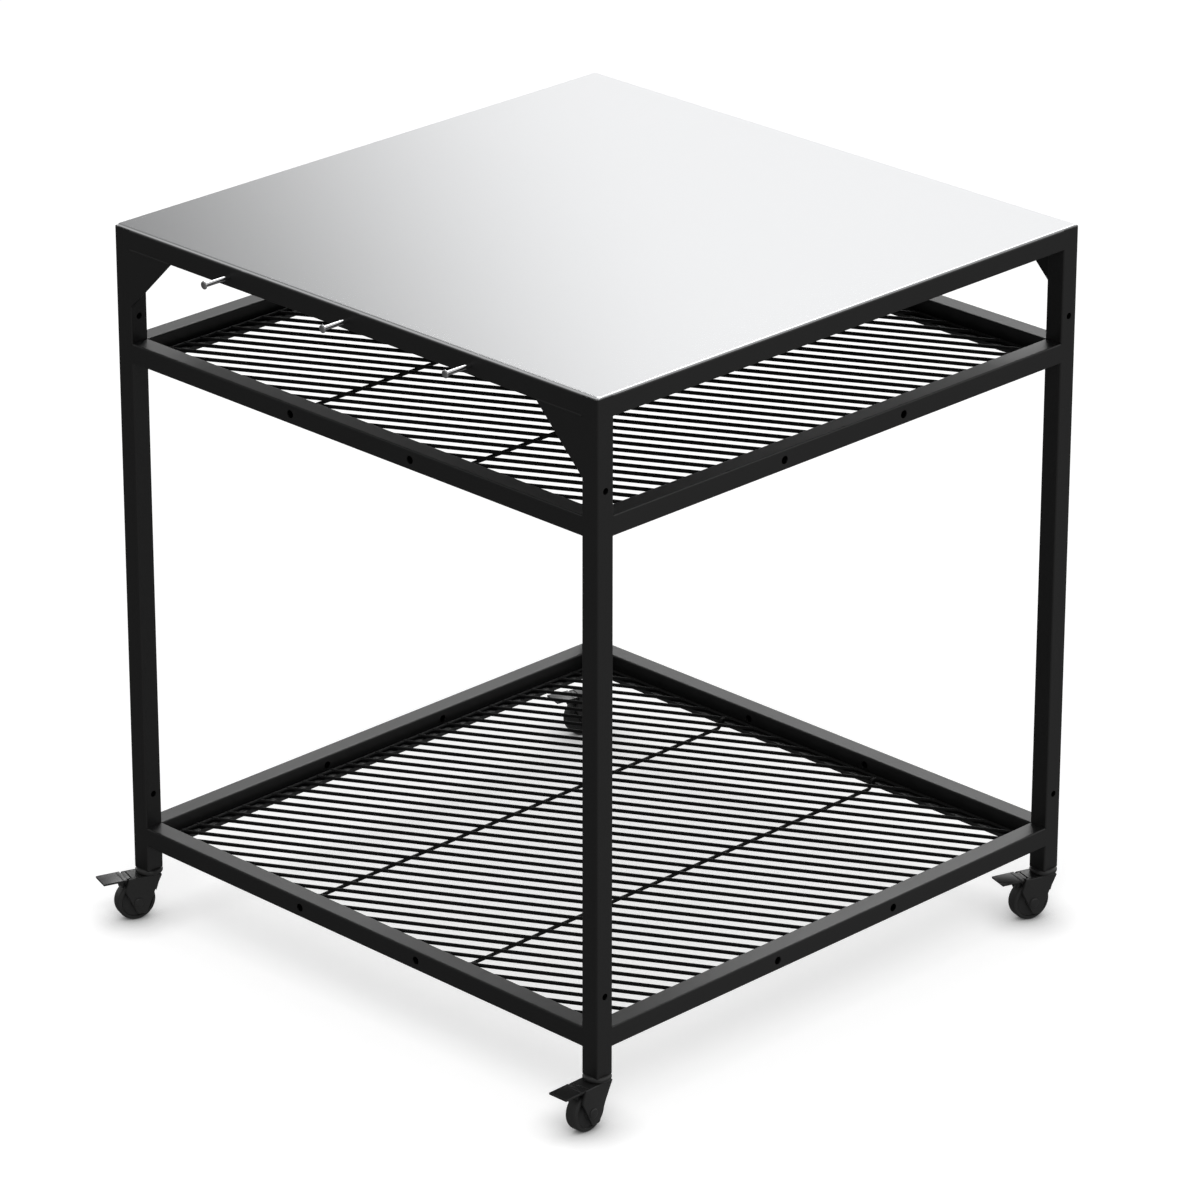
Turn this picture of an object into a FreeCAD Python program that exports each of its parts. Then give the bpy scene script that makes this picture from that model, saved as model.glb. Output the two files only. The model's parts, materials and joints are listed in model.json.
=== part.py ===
import FreeCAD, Part
import Sketcher
import math
import os

# Outdoor pizza oven table on four braked casters, millimetres.
# The origin is on the floor under the middle of the table, +Z is up and -Y is the side with the tool pegs.
# A black square-tube frame carries a stainless worktop and two welded wire grates.

doc = FreeCAD.newDocument("oven_table")
sheet = doc.addObject("Spreadsheet::Sheet", "sizes")

# Driving dimensions: alias, value, meaning
DIMENSIONS = [
    ("table_span", 800, "outer width and depth of the frame"),
    ("worktop_height", 900, "floor to the top of the worktop"),
    ("worktop_thickness", 2.5, "stainless worktop"),
    ("worktop_inset", 1, "frame outline to worktop edge"),
    ("worktop_edge_radius", 2.2, "rolled top edge of the worktop"),
    ("worktop_corner_radius", 2, "plan corners of the worktop"),
    ("tube_size", 25, "side of the square frame tube"),
    ("tube_wall", 1.5, "wall of the frame tube"),
    ("tube_corner", 2, "outer corner radius of the frame tube"),
    ("lower_shelf_rise", 33.5, "lower end of a leg to the underside of the lower shelf rails"),
    ("upper_shelf_drop", 169.5, "top of the worktop to the underside of the upper shelf rails"),
    ("leg_hole_rise", 67.5, "lower shelf rails to the lower accessory hole in a leg"),
    ("leg_hole_drop", 112.5, "top of the worktop to the upper accessory hole in a leg"),
    ("leg_hole_radius", 4, "accessory hole through a leg"),
    ("rail_hole_radius", 5, "accessory hole through a shelf rail"),
    ("gusset_side", 71, "short sides of the triangular corner gusset"),
    ("gusset_thickness", 3, "gusset plate"),
    ("ledge_width", 18, "flat strip that carries a grate"),
    ("ledge_thickness", 5, "flat strip that carries a grate"),
    ("bar_width", 25, "cross bar under the worktop"),
    ("bar_depth", 15, "cross bar under the worktop"),
    ("bar_offset", 133, "table centre to a cross bar"),
    ("grate_gap", 8, "rail face to the middle of the rim wire"),
    ("rim_wire_radius", 2.3, "rim wire of a grate"),
    ("rim_corner_radius", 10, "bend of the rim wire at the corners"),
    ("wire_radius", 2, "slanted wires of a grate"),
    ("wire_pitch", 25, "distance between slanted wires along Y"),
    ("wire_slant", 30, "angle between the slanted wires and X, in degrees"),
    ("stay_radius", 2.25, "stiffening wire that hangs under a grate"),
    ("stay_offset", 130, "table centre to a stiffening wire"),
    ("stay_drop", 10.2, "drop of a stiffening wire below the slanted wires"),
    ("stay_bend_radius", 4, "bends of a stiffening wire"),
    ("stay_ledge_gap", 3.5, "ledge edge to the upright part of a stiffening wire"),
    ("peg_radius", 3, "shank of a tool peg"),
    ("peg_reach", 38, "rail face to the back of a peg head"),
    ("peg_head_radius", 5, "head of a tool peg"),
    ("peg_head_length", 2.5, "head of a tool peg"),
    ("peg_thread_length", 8, "shank behind the rail"),
    ("peg_nut_flats", 10, "across flats of a peg nut"),
    ("peg_nut_height", 5, "height of a peg nut"),
    ("hole_clearance", 0.05, "radial gap around pegs and pins"),
    ("screw_radius", 2.5, "worktop screw"),
    ("screw_hole_radius", 2.75, "hole for a worktop screw in a top rail"),
    ("screw_head_radius", 4.5, "head of a worktop screw"),
    ("screw_head_height", 3, "head of a worktop screw"),
    ("screw_grip", 1.2, "screw end inside the worktop"),
    ("screw_inset", 100, "frame outline to a worktop screw"),
    ("wheel_radius", 25, "caster wheel"),
    ("wheel_width", 17, "tread of a caster wheel"),
    ("wheel_shoulder", 3.5, "rounding of the tread edge"),
    ("hub_radius", 8, "hub of a caster wheel"),
    ("hub_gap", 0.3, "hub face to fork cheek"),
    ("web_depth", 3, "dish in the side of a wheel"),
    ("rim_slope", 2, "sloping side of the dish under the tread"),
    ("axle_radius", 4, "caster axle"),
    ("axle_head_radius", 6.5, "head of a caster axle"),
    ("axle_head_length", 2, "head of a caster axle"),
    ("trail", 20, "swivel axis to wheel axle, level"),
    ("fork_width", 28, "outside of the caster fork"),
    ("fork_slot", 20, "inside of the caster fork"),
    ("fork_slot_margin", 2.2, "wheel tread to the fork above it"),
    ("fork_edge_radius", 1.2, "rounded outer edges of the fork"),
    ("fork_tip_radius", 3, "rounded lower end of a fork cheek"),
    ("hood_thickness", 6.3, "fork above its hollow, up to the flat top"),
    ("hood_front", 32, "swivel axis to the front end of the flat top"),
    ("hood_rear", 12.5, "swivel axis to the rear end of the flat top"),
    ("brow_reach", 16.6, "wheel axle to the front brow of a cheek, level"),
    ("brow_rise", 16.6, "wheel axle to the front brow of a cheek, upright"),
    ("back_reach", 21.3, "wheel axle to the bend in the back of a cheek, level"),
    ("back_rise", 11, "wheel axle to the bend in the back of a cheek, upright"),
    ("tip_front", 1, "wheel axle to the front end of a cheek tip"),
    ("tip_rear", 10.5, "wheel axle to the rear end of a cheek tip"),
    ("tip_drop", 15.5, "wheel axle down to a cheek tip"),
    ("notch_reach", 5.5, "wheel axle to the notch for the pedal"),
    ("cut_margin", 1, "how far the notch runs past the fork"),
    ("hood_gap", 0.3, "fork top to the cap above it"),
    ("cap_height", 7, "fork top to the leg, with the bearing cap between them"),
    ("cap_radius", 17, "bearing cap above the fork"),
    ("cap_edge_radius", 2, "rounded edge of the bearing cap"),
    ("swivel_pin_radius", 5, "swivel pin"),
    ("rivet_radius", 7, "rivet head of the swivel pin"),
    ("rivet_height", 3, "rivet head of the swivel pin"),
    ("rivet_drop", 9.5, "fork top to the lower face of the rivet head"),
    ("plug_gap", 0.1, "leg tube to the caster plug"),
    ("plug_length", 24, "caster plug inside a leg"),
    ("pedal_reach", 65, "swivel axis to the tip of a brake pedal"),
    ("pedal_thickness", 2.5, "plate of a brake pedal"),
    ("pedal_pivot_reach", 30.5, "swivel axis to the pedal pivot"),
    ("pedal_pivot_drop", 6, "fork top to the pedal pivot"),
    ("pedal_plate_start", 3.8, "pedal pivot to the near edge of the plate"),
    ("pedal_plate_rise", 6.5, "pedal pivot up to the near edge of the plate"),
    ("pedal_tip_rise", 6.5, "pedal pivot up to the tip of the plate"),
    ("pedal_pin_radius", 1.5, "trunnion of a brake pedal"),
    ("pedal_pin_recess", 0.5, "cheek face to the end of a trunnion"),
    ("pedal_barrel_radius", 3.2, "barrel around the pedal pivot"),
    ("pedal_lap", 0.7, "how far the root of a pedal runs under its plate"),
    ("shoe_width", 14, "brake shoe between the cheeks"),
    ("shoe_start", 2, "pedal pivot to the near end of the shoe"),
    ("shoe_reach", 9, "pedal pivot to the far side of the shoe"),
    ("shoe_rise", 5.2, "pedal pivot up to the top of the shoe"),
    ("shoe_drop", 5.5, "pedal pivot down to the lower end of the far side"),
    ("toe_reach", 6.5, "pedal pivot to the toe that meets the tread, level"),
    ("toe_drop", 6.2, "pedal pivot to the toe that meets the tread, upright"),
    ("heading_front_left", -109, "angle of the trail direction from +X, in degrees"),
    ("heading_front_right", -89, "angle of the trail direction from +X, in degrees"),
    ("heading_rear_right", -108, "angle of the trail direction from +X, in degrees"),
    ("heading_rear_left", -105, "angle of the trail direction from +X, in degrees"),
    # Sizes that follow from those above
    ("frame_top", "=worktop_height - worktop_thickness", "top of legs and top rails"),
    ("slot_radius", "=wheel_radius + fork_slot_margin", "hollow of the fork around the wheel"),
    ("hood_height", "=wheel_radius + slot_radius + hood_thickness", "floor to the top of the fork"),
    ("leg_bottom", "=hood_height + cap_height", "floor to the lower end of a leg"),
    ("lower_shelf_height", "=leg_bottom + lower_shelf_rise", "floor to the lower shelf rails"),
    ("leg_hole_low", "=lower_shelf_height + leg_hole_rise", "floor to the lower hole in a leg"),
    ("upper_shelf_height", "=worktop_height - upper_shelf_drop", "floor to the upper shelf rails"),
    ("leg_hole_high", "=worktop_height - leg_hole_drop", "floor to the upper hole in a leg"),
    ("rail_hole_spacing", "=table_span / 4", "distance between the two holes of a shelf rail"),
    ("peg_spacing", "=table_span / 4", "distance between tool pegs"),
    ("screw_offset", "=table_span / 2 - screw_inset", "rail middle to a worktop screw"),
    ("leg_centre", "=(table_span - tube_size) / 2", "table centre to a leg axis"),
    ("inner_face", "=table_span / 2 - tube_size", "table centre to the inner face of a rail"),
    ("rail_length", "=table_span - 2 * tube_size", "rail between two legs"),
    ("top_rail_centre", "=frame_top - tube_size / 2", "height of the top rail axes"),
    ("rim_half", "=inner_face - grate_gap", "table centre to the rim wire axis"),
    ("rim_level", "=ledge_thickness + rim_wire_radius", "rail underside to the rim wire axis"),
    ("hub_width", "=fork_slot - 2 * hub_gap", "hub between the cheeks"),
    ("shoulder_step", "=wheel_shoulder * (1 - sin(45))", "middle of the tread edge, drawn in"),
    ("rivet_level", "=hood_height - rivet_drop", "floor to the lower face of the rivet head"),
    ("pedal_pivot_height", "=hood_height - pedal_pivot_drop", "floor to the pedal pivot"),
]

ROOT = -1
CORNERS = {
    "front_left": (-1, -1),
    "front_right": (1, -1),
    "rear_right": (1, 1),
    "rear_left": (-1, 1),
}
# Turn about Z that brings the front side of the table to each side
SIDE_TURNS = {"front": 0, "right": 90, "rear": 180, "left": 270}
SIDE_NORMALS = {"front": (0, -1), "right": (1, 0), "rear": (0, 1), "left": (-1, 0)}


def fill_sheet():
    """Write the dimensions into the spreadsheet, one row each."""
    for row, (alias, value, meaning) in enumerate(DIMENSIONS, start=1):
        sheet.set(f"A{row}", meaning)
        sheet.set(f"B{row}", str(value))
        sheet.setAlias(f"B{row}", alias)
    doc.recompute()


def size(alias):
    """The present value of one dimension."""
    return float(sheet.get(alias))


def value_of(expression):
    """The number that an expression on the sheet gives."""
    return float(sheet.evalExpression(expression))


def in_sheet(expression):
    """The same expression, with each alias written as a cell of the sheet."""
    text = expression
    for alias in sorted((entry[0] for entry in DIMENSIONS), key=len, reverse=True):
        text = text.replace(alias, "sizes.<" + alias[::-1] + ">")
    for alias in (entry[0] for entry in DIMENSIONS):
        text = text.replace("<" + alias[::-1] + ">", alias)
    return text


def new_body(label):
    """An empty body for one sub-part."""
    body = doc.addObject("PartDesign::Body", label)
    body.Label = label
    return body


def new_sketch(body, plane_role, level="0"):
    """A sketch on one of the body's own origin planes, moved along its normal by level."""
    sketch = body.newObject("Sketcher::SketchObject", body.Label + "_sketch")
    plane = next(item for item in body.Origin.OriginFeatures if item.Role == plane_role)
    sketch.AttachmentSupport = (plane, [""])
    sketch.MapMode = "FlatFace"
    if level != "0":
        sketch.setExpression("AttachmentOffset.Base.z", in_sheet(level))
    return sketch


def pin_point(sketch, geometry, point, across, up):
    """Hold one sketch point at two expressions, counted from the sketch origin."""
    held = [("DistanceX", across, -2), ("DistanceY", up, ROOT)]
    for kind, expression, axis in held:
        if expression == "0":
            sketch.addConstraint(Sketcher.Constraint("PointOnObject", geometry, point, axis))
            continue
        distance = value_of(in_sheet(expression))
        index = sketch.addConstraint(Sketcher.Constraint(kind, ROOT, 1, geometry, point, distance))
        sketch.setExpression(f"Constraints[{index}]", in_sheet(expression))


def add_outline(sketch, corners):
    """A closed outline of straight lines through corners given as pairs of expressions."""
    places = [(value_of(in_sheet(across)), value_of(in_sheet(up))) for across, up in corners]
    first = sketch.GeometryCount
    count = len(corners)
    for index in range(count):
        start = FreeCAD.Vector(*places[index], 0)
        end = FreeCAD.Vector(*places[(index + 1) % count], 0)
        sketch.addGeometry(Part.LineSegment(start, end))
    for index in range(count):
        following = first + (index + 1) % count
        sketch.addConstraint(Sketcher.Constraint("Coincident", first + index, 2, following, 1))
    for index, (across, up) in enumerate(corners):
        pin_point(sketch, first + index, 1, across, up)


def add_rectangle(sketch, width, height):
    """A rectangle centred on the sketch origin."""
    right = f"({width}) / 2"
    top = f"({height}) / 2"
    add_outline(sketch, [(f"-{right}", f"-{top}"), (right, f"-{top}"), (right, top), (f"-{right}", top)])


def add_circle(sketch, across, up, radius):
    """A circle held at two expressions with its radius as a third."""
    centre = FreeCAD.Vector(value_of(in_sheet(across)), value_of(in_sheet(up)), 0)
    circle = Part.Circle(centre, FreeCAD.Vector(0, 0, 1), value_of(in_sheet(radius)))
    index = sketch.addGeometry(circle)
    pin_point(sketch, index, 3, across, up)
    constraint = sketch.addConstraint(Sketcher.Constraint("Radius", index, circle.Radius))
    sketch.setExpression(f"Constraints[{constraint}]", in_sheet(radius))


def add_pad(body, sketch, length, symmetric=False, reversed_side=False):
    """Extrude a sketch along its normal."""
    pad = body.newObject("PartDesign::Pad", body.Label + "_pad")
    pad.Profile = sketch
    pad.setExpression("Length", in_sheet(length))
    pad.SideType = "Symmetric" if symmetric else "One side"
    pad.Reversed = reversed_side
    return pad


def add_cut(body, sketch, length):
    """A pocket that reaches half of length to each side of its sketch."""
    pocket = body.newObject("PartDesign::Pocket", body.Label + "_cut")
    pocket.Profile = sketch
    pocket.setExpression("Length", in_sheet(length))
    pocket.SideType = "Symmetric"


def add_turn(body, sketch):
    """A full turn of the sketch about its own upright axis."""
    turn = body.newObject("PartDesign::Revolution", body.Label + "_turn")
    turn.Profile = sketch
    turn.ReferenceAxis = (sketch, ["V_Axis"])
    turn.Angle = 360


def add_fillet(body, feature, chosen, radius):
    """Round the edges of a feature for which chosen is true."""
    doc.recompute()
    names = [f"Edge{n}" for n, edge in enumerate(feature.Shape.Edges, start=1) if chosen(edge)]
    fillet = body.newObject("PartDesign::Fillet", body.Label + "_rounding")
    fillet.Base = (feature, names)
    fillet.setExpression("Radius", in_sheet(radius))
    return fillet


def runs_along(edge, axis):
    """True for a straight edge parallel to the axis, 0 for X, 1 for Y and 2 for Z."""
    if not isinstance(edge.Curve, Part.Line):
        return False
    return abs(abs(edge.Curve.Direction[axis]) - 1) < 1e-6


def place(body, across="0", depth="0", height="0", turn=None):
    """Put a body at three expressions, after an optional rotation."""
    body.Placement.Rotation = turn or FreeCAD.Rotation()
    for axis, expression in (("x", across), ("y", depth), ("z", height)):
        if expression != "0":
            body.setExpression(f"Placement.Base.{axis}", in_sheet(expression))


def turned(degrees):
    """A turn about the upright axis."""
    return FreeCAD.Rotation(FreeCAD.Vector(0, 0, 1), degrees)


def lying(degrees):
    """Lay a local Z tube along a side of the table, its local X pointing down and Y inwards."""
    return turned(degrees) * FreeCAD.Rotation(FreeCAD.Vector(0, 1, 0), 90)


def tube_body(label, width, height, start, length, symmetric):
    """A rectangular tube along its local Z, with rounded outer corners."""
    body = new_body(label)
    outside = new_sketch(body, "XY_Plane", start)
    add_rectangle(outside, width, height)
    tube = add_pad(body, outside, length, symmetric)
    add_fillet(body, tube, lambda edge: runs_along(edge, 2), "tube_corner")
    inside = new_sketch(body, "XY_Plane", start)
    add_rectangle(inside, f"{width} - 2 * tube_wall", f"{height} - 2 * tube_wall")
    bore = body.newObject("PartDesign::Pocket", label + "_bore")
    bore.Profile = inside
    bore.Type = "ThroughAll"
    bore.SideType = "Symmetric" if symmetric else "One side"
    bore.Reversed = not symmetric
    return body


def drill(body, plane_role, centres, radius, through):
    """Round holes across a body, at centres in the sketch plane."""
    holes = new_sketch(body, plane_role)
    for across, up in centres:
        add_circle(holes, across, up, radius)
    add_cut(body, holes, through)


def make_leg(corner):
    """A square tube from its caster to the worktop, with two accessory holes."""
    side, end = CORNERS[corner]
    leg = tube_body("leg_" + corner, "tube_size", "tube_size", "leg_bottom", "frame_top - leg_bottom", False)
    centres = [("0", "leg_hole_low"), ("0", "leg_hole_high")]
    drill(leg, "YZ_Plane", centres, "leg_hole_radius", "2 * tube_size")
    place(leg, f"{side} * leg_centre", f"{end} * leg_centre")


def rail_place(body, side, height):
    """Lay a rail along one side of the table, between two legs."""
    across, depth = SIDE_NORMALS[side]
    place(body, f"{across} * leg_centre", f"{depth} * leg_centre", height, lying(SIDE_TURNS[side]))


def make_top_rail(side):
    """A top rail with two upright screw holes; the front one also holds the tool pegs."""
    rail = tube_body("top_rail_" + side, "tube_size", "tube_size", "0", "rail_length", True)
    screws = [("0", "-screw_offset"), ("0", "screw_offset")]
    drill(rail, "YZ_Plane", screws, "screw_hole_radius", "2 * tube_size")
    if side == "front":
        pegs = [("0", "-peg_spacing"), ("0", "0"), ("0", "peg_spacing")]
        drill(rail, "XZ_Plane", pegs, "peg_radius + hole_clearance", "2 * tube_size")
    rail_place(rail, side, "top_rail_centre")


def make_shelf_rail(shelf, side):
    """A rail of the upper or lower shelf frame, with two accessory holes."""
    rail = tube_body(f"{shelf}_shelf_rail_{side}", "tube_size", "tube_size", "0", "rail_length", True)
    centres = [("0", "-rail_hole_spacing / 2"), ("0", "rail_hole_spacing / 2")]
    drill(rail, "XZ_Plane", centres, "rail_hole_radius", "2 * tube_size")
    rail_place(rail, side, f"{shelf}_shelf_height + tube_size / 2")


def make_ledge(shelf, side):
    """A flat strip welded inside a shelf rail, level with the rail's underside."""
    full = side in ("front", "rear")
    ledge = new_body(f"{shelf}_ledge_{side}")
    outline = new_sketch(ledge, "XY_Plane")
    add_rectangle(outline, "rail_length" if full else "rail_length - 2 * ledge_width", "ledge_width")
    add_pad(ledge, outline, "ledge_thickness")
    across, depth = SIDE_NORMALS[side]
    reach = "(inner_face - ledge_width / 2)"
    place(ledge, f"{across} * {reach}", f"{depth} * {reach}", f"{shelf}_shelf_height", turned(SIDE_TURNS[side]))


def make_gusset(corner):
    """A triangular plate in the corner between a leg and the front or rear top rail."""
    side, end = CORNERS[corner]
    gusset = new_body("gusset_" + corner)
    outline = new_sketch(gusset, "XZ_Plane")
    at_leg = f"{side} * inner_face"
    inwards = f"{side} * (inner_face - gusset_side)"
    under_rail = "frame_top - tube_size"
    add_outline(outline, [(at_leg, under_rail), (at_leg, f"{under_rail} - gusset_side"), (inwards, under_rail)])
    add_pad(gusset, outline, "gusset_thickness", reversed_side=end < 0)
    place(gusset, depth=f"{end} * table_span / 2")


def make_worktop():
    """The stainless sheet, with blind holes below for its screws."""
    worktop = new_body("worktop")
    outline = new_sketch(worktop, "XY_Plane")
    add_rectangle(outline, "table_span - 2 * worktop_inset", "table_span - 2 * worktop_inset")
    plate = add_pad(worktop, outline, "worktop_thickness")
    corners = add_fillet(worktop, plate, lambda edge: runs_along(edge, 2), "worktop_corner_radius")
    thickness = size("worktop_thickness")
    add_fillet(worktop, corners, lambda edge: abs(edge.BoundBox.ZMin - thickness) < 1e-6, "worktop_edge_radius")
    holes = new_sketch(worktop, "XY_Plane")
    for across, depth in screw_places():
        add_circle(holes, across, depth, "screw_radius + hole_clearance")
    add_cut(worktop, holes, "2 * (screw_grip + hole_clearance)")
    place(worktop, height="frame_top")


def make_cross_bar(name, side):
    """A tube under the worktop, between the front and rear top rails."""
    bar = tube_body("worktop_bar_" + name, "bar_depth", "bar_width", "0", "rail_length", True)
    place(bar, f"{side} * bar_offset", "0", "frame_top - bar_depth / 2", lying(90))


def screw_places():
    """Plan positions of the worktop screws: two in each top rail."""
    places = []
    for normal_x, normal_y in SIDE_NORMALS.values():
        for hand in (-1, 1):
            across = f"{normal_x} * leg_centre + {hand * normal_y} * screw_offset"
            depth = f"{normal_y} * leg_centre + {hand * normal_x} * screw_offset"
            places.append((across, depth))
    return places


def make_feature(label, shape, position=None):
    """A sub-part from a finished shape."""
    feature = doc.addObject("Part::Feature", label)
    feature.Label = label
    feature.Shape = shape
    feature.Placement = FreeCAD.Placement(position or FreeCAD.Vector(), FreeCAD.Rotation())


def make_worktop_screws():
    """Eight pan-head screws from under the top rails up into the worktop."""
    down = FreeCAD.Vector(0, 0, -1)
    upper_end = size("frame_top") + size("screw_grip")
    under_rail = size("frame_top") - size("tube_size")
    screws = []
    for across, depth in screw_places():
        x = value_of(in_sheet(across))
        y = value_of(in_sheet(depth))
        shank = Part.makeCylinder(size("screw_radius"), upper_end - under_rail, FreeCAD.Vector(x, y, upper_end), down)
        seat = FreeCAD.Vector(x, y, under_rail)
        head = Part.makeCylinder(size("screw_head_radius"), size("screw_head_height"), seat, down)
        screws.append(shank.fuse(head).removeSplitter())
    make_feature("worktop_screws", Part.makeCompound(screws))


def make_peg(name, place_number):
    """A polished tool peg: shank through the front top rail and a domed head at its tip."""
    peg = new_body("tool_peg_" + name)
    outline = new_sketch(peg, "XY_Plane")
    tail = "-(tube_size + peg_thread_length)"
    head_back = "peg_reach"
    rim = "peg_reach + peg_head_length / 2"
    tip = "peg_reach + peg_head_length"
    add_outline(outline, [
        ("0", tail),
        ("peg_radius", tail),
        ("peg_radius", head_back),
        ("peg_head_radius", head_back),
        ("peg_head_radius", rim),
        ("peg_head_radius - peg_head_length / 2", tip),
        ("0", tip),
    ])
    add_turn(peg, outline)
    facing_front = FreeCAD.Rotation(FreeCAD.Vector(0, 0, 1), 180)
    place(peg, f"{place_number} * peg_spacing", "-table_span / 2", "top_rail_centre", facing_front)


def make_peg_nuts():
    """Hexagon nuts on the peg ends, against the inner face of the front top rail."""
    inwards = FreeCAD.Vector(0, 1, 0)
    corner = size("peg_nut_flats") / math.sqrt(3)
    nuts = []
    for place_number in (-1, 0, 1):
        seat = FreeCAD.Vector(place_number * size("peg_spacing"), -size("inner_face"), size("top_rail_centre"))
        points = []
        for step in range(7):
            angle = math.radians(60 * step)
            offset = FreeCAD.Vector(corner * math.cos(angle), 0, corner * math.sin(angle))
            points.append(seat + offset)
        block = Part.Face(Part.makePolygon(points)).extrude(inwards * size("peg_nut_height"))
        bore = Part.makeCylinder(size("peg_radius") + size("hole_clearance"), size("peg_nut_height"), seat, inwards)
        nuts.append(block.cut(bore))
    make_feature("peg_nuts", Part.makeCompound(nuts))


def round_bar(start, end, radius):
    """A straight round bar between two points."""
    run = end - start
    return Part.makeCylinder(radius, run.Length, start, run)


def bent_wire(points, bend_radius, wire_radius):
    """A round wire through points in one plane, with an arc at each inner point."""
    edges = []
    start = points[0]
    for before, corner, after in zip(points, points[1:], points[2:]):
        arriving = (corner - before).normalize()
        leaving = (after - corner).normalize()
        turn = math.acos(max(-1, min(1, arriving.dot(leaving))))
        setback = bend_radius * math.tan(turn / 2)
        arc_start = corner - arriving * setback
        arc_end = corner + leaving * setback
        inwards = (leaving - arriving).normalize()
        middle = corner + inwards * (bend_radius / math.cos(turn / 2) - bend_radius)
        edges.append(Part.LineSegment(start, arc_start).toShape())
        edges.append(Part.Arc(arc_start, middle, arc_end).toShape())
        start = arc_end
    edges.append(Part.LineSegment(start, points[-1]).toShape())
    section = Part.Wire(Part.makeCircle(wire_radius, points[0], points[1] - points[0]))
    return Part.Wire(edges).makePipeShell([section], True, False)


def grate_rim():
    """The rim wire: four straight sides and four bent corners, closed."""
    half = size("rim_half")
    bend = size("rim_corner_radius")
    radius = size("rim_wire_radius")
    reach = half - bend
    pieces = []
    for number in range(4):
        spin = turned(90 * number)
        start = spin.multVec(FreeCAD.Vector(-reach, -half, 0))
        end = spin.multVec(FreeCAD.Vector(reach, -half, 0))
        pieces.append(round_bar(start, end, radius))
        bend_centre = spin.multVec(FreeCAD.Vector(reach, -reach, 0))
        corner = Part.makeTorus(bend, radius, FreeCAD.Vector(), FreeCAD.Vector(0, 0, 1), -180, 180, 90)
        corner.Placement = FreeCAD.Placement(bend_centre, turned(90 * number - 90))
        pieces.append(corner)
    return pieces


def slanted_wires():
    """Straight wires at the slant angle, each ending on the axis of the rim wire."""
    half = size("rim_half")
    slope = math.tan(math.radians(size("wire_slant")))
    pitch = size("wire_pitch")
    corner_margin = size("rim_corner_radius")
    count = math.ceil(half * (1 + slope) / pitch)
    wires = []
    for step in range(-count, count):
        offset = pitch * (step + 0.5)
        left = max(-half, (-half - offset) / slope)
        right = min(half, (half - offset) / slope)
        if right - left < 2 * corner_margin:
            continue
        start = FreeCAD.Vector(left, slope * left + offset, 0)
        end = FreeCAD.Vector(right, slope * right + offset, 0)
        wires.append(round_bar(start, end, size("wire_radius")))
    return wires


def stiffening_wire(side):
    """A wire along Y that rests on the ledges and hangs below the slanted wires between them."""
    x = side * size("stay_offset")
    half = size("rim_half")
    bend_at = size("inner_face") - size("ledge_width") - size("stay_ledge_gap")
    drop = -size("stay_drop")
    places = [(-half, 0), (-bend_at, 0), (-bend_at, drop), (bend_at, drop), (bend_at, 0), (half, 0)]
    points = [FreeCAD.Vector(x, y, z) for y, z in places]
    return bent_wire(points, size("stay_bend_radius"), size("stay_radius"))


def make_grate(shelf):
    """One welded grate: rim, slanted wires and two stiffening wires as a single solid."""
    rim = grate_rim()
    shape = rim[0].multiFuse(rim[1:] + slanted_wires() + [stiffening_wire(-1), stiffening_wire(1)])
    height = size(f"{shelf}_shelf_height") + size("rim_level")
    make_feature(f"{shelf}_grate", shape, FreeCAD.Vector(0, 0, height))


def at_leg(body, corner, reach="0", height="0"):
    """Put a caster piece at its leg, turned to the caster's heading and moved out along it."""
    side, end = CORNERS[corner]
    heading = f"heading_{corner}"
    across = f"{side} * leg_centre + ({reach}) * cos({heading})"
    depth = f"{end} * leg_centre + ({reach}) * sin({heading})"
    place(body, across, depth, height, turned(size(heading)))
    body.setExpression("Placement.Rotation.Angle", in_sheet(heading))


def make_cap(corner):
    """Bearing cap with the square plug inside the leg above it and the riveted swivel pin below."""
    cap = new_body("caster_plug_" + corner)
    pin = new_sketch(cap, "XZ_Plane")
    cap_foot = "hood_height + hood_gap"
    rivet_top = "rivet_level + rivet_height"
    add_outline(pin, [
        ("0", "rivet_level"),
        ("rivet_radius", "rivet_level"),
        ("rivet_radius", rivet_top),
        ("swivel_pin_radius", rivet_top),
        ("swivel_pin_radius", cap_foot),
        ("cap_radius - cap_edge_radius", cap_foot),
        ("cap_radius", f"{cap_foot} + cap_edge_radius"),
        ("cap_radius", "leg_bottom - cap_edge_radius"),
        ("cap_radius - cap_edge_radius", "leg_bottom"),
        ("0", "leg_bottom"),
    ])
    add_turn(cap, pin)
    square = new_sketch(cap, "XY_Plane", "leg_bottom")
    side = "tube_size - 2 * tube_wall - 2 * plug_gap"
    add_rectangle(square, side, side)
    add_pad(cap, square, "plug_length")
    x_side, y_side = CORNERS[corner]
    place(cap, f"{x_side} * leg_centre", f"{y_side} * leg_centre")


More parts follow.
